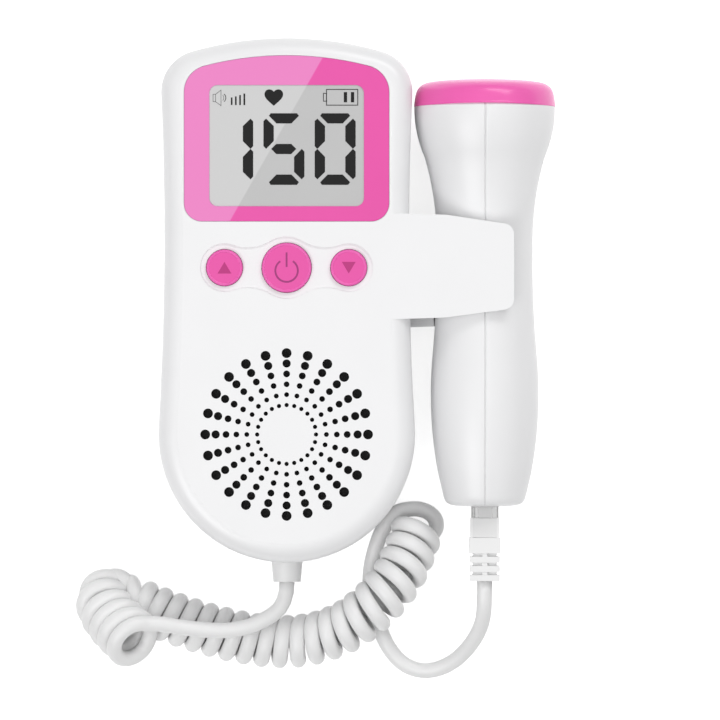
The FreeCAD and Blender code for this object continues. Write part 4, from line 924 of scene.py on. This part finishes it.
# Radius and place along the probe, in mm, of the domed foot and the straight taper above it.
FOOT = [
    (5.2, -57.1), (7.8, -56.95), (9.4, -56.65), (10.3, -56.25), (10.85, -55.7), (11.2, -54.95),
    (11.48, -54.0), (11.83, -52.5), (12.37, -50.2), (12.9, -48.0),
]
# The end of each arc, its bend, hollow where that is negative, and its steps.
ARCS = {
    "belly": ((14.6, -17.0), 120, 10),
    "waist": ((13.3, 14.0), -280, 7),
    "neck": ((16.6, 39.4), -84, 10),
    "head": ((19.48, 53.5), 34.4, 9),
}
LIP = [(19.44, 53.7), (19.2, 53.8), (19.2, 54.4)]
# Degrees from the seam, and how far the skin moves out, in mm.
GROOVE = [(0, -0.34), (0.55, -0.34), (0.75, -0.12), (1.2, -0.02), (2.0, 0)]
EVEN_TURNS = list(range(5, 176, 5))


def arc_to(start, end, bend, steps):
    """Points after start up to end, on an arc of radius bend."""
    start, end = Vector(start), Vector(end)
    chord = end - start
    out = Vector((chord.y, -chord.x)).normalized()
    depth = math.sqrt(bend**2 - chord.length_squared / 4)
    centre = (start + end) / 2 - out * math.copysign(depth, bend)
    first = math.degrees(math.atan2(start.y - centre.y, start.x - centre.x))
    turn = math.degrees(2 * math.asin(chord.length / 2 / bend))
    return arc_points(centre, abs(bend), first, first + turn, steps)[1:]


def handle_profile():
    """The handle's skin from the socket's edge to the lip under the cap."""
    line = list(FOOT)
    for end, bend, steps in ARCS.values():
        line += arc_to(line[-1], end, bend, steps)
    return line + LIP


def handle_half(name, start, node):
    """Half of the handle as a shell, its edges rounded into the groove between the halves."""
    turns = [a for a, _ in GROOVE] + EVEN_TURNS + [180 - a for a, _ in reversed(GROOVE)]
    drops = [d for _, d in GROOVE] + [0] * len(EVEN_TURNS) + [d for _, d in reversed(GROOVE)]
    bm = bmesh.new()
    rings = []
    for radius, y in handle_profile():
        inner = radius - PROBE_WALL if y > FOOT_TOP else SOCKET_RADIUS
        ring = [(radius + drop, turn) for turn, drop in zip(turns, drops)]
        ring += [(inner, turn) for turn in reversed(turns)]
        rings.append([
            bm.verts.new(turned_point(PROBE_MIDDLE, "Y", r * MM, y * MM, math.radians(start + turn)))
            for r, turn in ring
        ])
    join_rings(bm, rings)
    for ring in (rings[0][::-1], rings[-1]):
        for k in range(len(turns) - 1):
            bm.faces.new((ring[k], ring[k + 1], ring[-2 - k], ring[-1 - k]))
    piece = mesh_object(name, bm)
    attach(dress(piece, SATIN_ABS), "probe")
    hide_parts(node)
    print(f"{name}: {len(piece.data.polygons)} faces")


handle_half("handle_left", 90, "probe_shell_left")
handle_half("handle_right", -90, "probe_shell_right")

# %% [markdown]
# ## Cap on the probe's face
# The cap is the part that touches the skin, so it has a crown and a wide round edge and nothing
# sharp. Its lower edge isn't level: it dips a little towards the two sides. A plain lathe can't do
# that. So the profile is turned as before, but the last points of each column are put where the
# edge is at that angle.

# %% Turn the cap
CAP_SIDES = 144
# Radius, and place along the probe, in mm.
CAP = [
    (0, 61.1), (3, 61.08), (6, 61.0), (9, 60.86), (12, 60.64), (14.6, 60.34), (16.2, 60.0),
    (17.4, 59.45), (18.2, 58.75), (18.75, 57.9), (19.1, 56.8), (19.32, 55.6), (19.47, 54.6),
]
CAP_STEPS = 3
CAP_LIP = [(19.54, 0.35), (19.56, 0.12), (19.5, 0)]
CAP_EDGE_LOW = 53.45
CAP_EDGE_RISE = 0.75
CAP_BORE = 17.6
CAP_BORE_END = 59


def cap_column(angle):
    """Radius and height of each point from the crown down to the edge and up inside, at this angle."""
    edge = CAP_EDGE_LOW + CAP_EDGE_RISE * math.sin(angle) ** 2
    lip = [(radius, edge + rise) for radius, rise in CAP_LIP]
    return bend_points(CAP, CAP_STEPS)[1:] + lip + [(CAP_BORE, edge), (CAP_BORE, CAP_BORE_END)]


bm = bmesh.new()
crown = bm.verts.new(PROBE_MIDDLE + mm(0, CAP[0][1], 0))
inside = bm.verts.new(PROBE_MIDDLE + mm(0, CAP_BORE_END, 0))
columns = [
    [bm.verts.new(turned_point(PROBE_MIDDLE, "Y", r * MM, y * MM, angle)) for r, y in cap_column(angle)]
    for angle in (2 * math.pi * k / CAP_SIDES for k in range(CAP_SIDES))
]
for column, after in zip(columns, columns[1:] + columns[:1]):
    bm.faces.new((crown, column[0], after[0]))
    bm.faces.new((inside, column[-1], after[-1]))
    for k in range(len(column) - 1):
        bm.faces.new((column[k], column[k + 1], after[k + 1], after[k]))
face_cap = mesh_object("face_cap", bm)
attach(dress(face_cap, LACQUERED_PINK), "probe")
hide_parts("probe_face_cap")
print(f"face_cap: {len(face_cap.data.polygons)} faces, {2 * CAP[-1][0]:.1f} mm across")

# %% [markdown]
# ## Soft edges on the moulded parts
# A mould never leaves a knife edge. The solids carry the large rounds, and a bevel adds the last
# fraction of a millimetre, which catches a thin line of light at the lips of the keys' recess, the
# grille's holes and the boot's slots. The mesh comes with its faces apart, so they are welded
# first, or there is no edge to bevel.

# %% Bevel the edges
SHARP_ANGLE = math.radians(35)
WELD_REACH = 1e-6
# Width of the bevel, and its segments.
SOFT_EDGES = {
    "front_shell": (0.00025, 3),
    "rear_shell": (0.00025, 3),
    "plug_boot": (0.0006, 4),
    "plug_collar": (0.0003, 3),
    "cord_gland": (0.0005, 3),
}

for node, (width, segments) in SOFT_EDGES.items():
    weld = NODES[node].modifiers.new("join", "WELD")
    weld.merge_threshold = WELD_REACH
    bevel = NODES[node].modifiers.new("edges", "BEVEL")
    bevel.width = width
    bevel.segments = segments
    bevel.limit_method = "ANGLE"
    bevel.angle_limit = SHARP_ANGLE
    bevel.harden_normals = True
    print(f"{node}: edges rounded by {width / MM:.2f} mm")

# %% [markdown]
# ## Plug
# A small clear plug has a springy latch on its front, and its walls show as thin grey lines where
# one looks through them edge on. Real refraction would need a hollow housing and many light bounces
# to show the same. So the latch is a thin plate on the housing, and the wall edges are fine strips,
# both in opaque greys that are painted shade.
# The collar behind it has a rail down each side, which the hand feels when it pulls the plug.

# %% Add the latch, the painted wall shade and the rails
PLUG_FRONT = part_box("plug_housing")[1].z
COLLAR_LOW, COLLAR_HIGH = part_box("plug_collar")
SOCKET_MOUTH = -0.0566
STRIP_SINK = 0.0001
CORNER_STEPS = 3
STRIP_CORNER = 0.0001
LATCH_WIDTH = 0.0037
LATCH_MIDDLE = 0.0001
LATCH_GAP = 0.0003
LATCH_RISE = 0.0003
# Places of the strips of painted wall shade, from the probe's centre line.
PAINTED_WALL_SHADE_LINES = (-0.00345, -0.00288, 0.00347)
LINE_WIDTH = 0.0002
LINE_CORNER = 0.00003
LINE_RISE = 0.00003
RAIL_PLACE = 0.00358
RAIL_WIDTH = 0.0006
RAIL_RISE = 0.00012


def plug_strip(name, x, width, low, high, front, rise, material, corner=STRIP_CORNER):
    """A narrow upright piece on the plug's front face, x from the probe's centre line."""
    left = PROBE_MIDDLE.x + x - width / 2
    outline = round_box_points((left, low), (left + width, high), corner, CORNER_STEPS)
    return flat_piece(name, [outline], front - STRIP_SINK, front + rise, material, "probe")


# A real latch, in an opaque grey that is painted shade.
plug_strip("plug_latch", LATCH_MIDDLE, LATCH_WIDTH, COLLAR_HIGH.y, SOCKET_MOUTH - LATCH_GAP, PLUG_FRONT,
           LATCH_RISE, CLEAR_PC_LATCH_PAINTED_SHADE)
# Fine dark strips of painted shade where the clear walls are seen edge on.
for number, x in enumerate(PAINTED_WALL_SHADE_LINES, 1):
    plug_strip(f"plug_painted_wall_shade_{number}", x, LINE_WIDTH, COLLAR_HIGH.y, SOCKET_MOUTH, PLUG_FRONT,
               LINE_RISE, PAINTED_WALL_SHADE, LINE_CORNER)
for name, side in (("left", -1), ("right", 1)):
    plug_strip(f"collar_rail_{name}", side * RAIL_PLACE, RAIL_WIDTH, COLLAR_LOW.y, COLLAR_HIGH.y,
               COLLAR_HIGH.z, RAIL_RISE, TPE_BOOT)

# %% [markdown]
# ## White floor and world
# White objects on a white floor are lit low enough to keep their shades, and then the floor comes
# out grey. More light would burn out the object. Instead the floor glows a little, but only in rays
# that the camera sends, directly or by way of a mirror or clear plastic, so the glow lights
# nothing. The world works alike: it is white to the camera and weaker as a light. The floor still
# takes the object's shadow.

# %% Lay the floor and set the world
WORLD_LIGHT = 0.47
FLOOR_GLOW = 0.70
FLOOR_BOUNCE = 0.68
FLOOR_SEEN = 0.9
FLOOR_HALF = 1.5
FLOOR_DROP = 0.0002


def make_floor():
    """A large sheet of white paper just under the object."""
    bm = bmesh.new()
    bmesh.ops.create_grid(bm, x_segments=8, y_segments=8, size=FLOOR_HALF)
    floor = mesh_object("floor", bm, smooth=False)
    floor.location = (0, 0, -FLOOR_DROP)
    paper = bpy.data.materials.new("white_paper")
    paper.use_nodes = True
    tree = paper.node_tree
    rays = add_node(tree, "LightPath").outputs
    seen = rays["Is Camera Ray"]
    for name in ("Is Glossy Ray", "Is Transmission Ray"):
        seen = add_node(tree, "Math", {0: seen, 1: rays[name]}, operation="MAXIMUM").outputs[0]
    glow = add_node(tree, "MapRange", {"Value": seen, "To Min": 0.0, "To Max": FLOOR_GLOW})
    bounce = add_node(tree, "MapRange", {"Value": seen, "To Min": FLOOR_BOUNCE, "To Max": FLOOR_SEEN})
    fill(tree, tree.nodes["Principled BSDF"], {
        "Roughness": 1.0, "Specular IOR Level": 0.0, "Base Color": bounce.outputs["Result"],
        "Emission Color": (1, 1, 1, 1), "Emission Strength": glow.outputs["Result"],
    })
    floor.data.materials.append(paper)


def make_world():
    """A white world that lights the object at a lower strength than it shows."""
    world = bpy.data.worlds.new("Studio")
    world.use_nodes = True
    tree = world.node_tree
    seen = add_node(tree, "LightPath").outputs["Is Camera Ray"]
    strength = add_node(tree, "MapRange", {"Value": seen, "To Min": WORLD_LIGHT, "To Max": 1.0})
    fill(tree, tree.nodes["Background"], {
        "Color": (1, 1, 1, 1), "Strength": strength.outputs["Result"],
    })
    SCENE.world = world


SCENE.view_settings.view_transform = "Standard"
make_floor()
make_world()
print(f"world lights at {WORLD_LIGHT}, floor glows {FLOOR_GLOW} to the camera")

# %% [markdown]
# ## Lamps
# Three soft lamps model the white shapes. The key comes from the left and the foot, and keeps the
# unit's left edge bright and its right edge grey. One straight above evens out the front. A long
# strip beyond the display end, a little to the right, draws the highlight across the cap's round
# edge and along the unit's top. Their powers are set so that the front comes out at about the value
# of its own colour and nothing clips.

# %% Hang the lamps
def area_light(name, place, width, depth, power):
    """A rectangular soft lamp that faces the middle of the view."""
    data = bpy.data.lights.new(name, "AREA")
    data.shape = "RECTANGLE"
    data.size, data.size_y = width, depth
    data.energy = power
    light = bpy.data.objects.new(name, data)
    light.location = place
    light.rotation_euler = (VIEW_CENTRE - Vector(place)).to_track_quat("-Z", "Y").to_euler()
    SCENE.collection.objects.link(light)
    print(f"lamp {name}: {power} W, {(VIEW_CENTRE - Vector(place)).length:.2f} m away")


area_light("key", (-0.5, -0.45, 1.0), width=0.6, depth=0.6, power=4.5)
area_light("above", (0.1, 0.0, 1.6), width=0.8, depth=0.8, power=3.1)
area_light("strip", (0.5, 0.9, 0.85), width=0.9, depth=0.4, power=5.6)
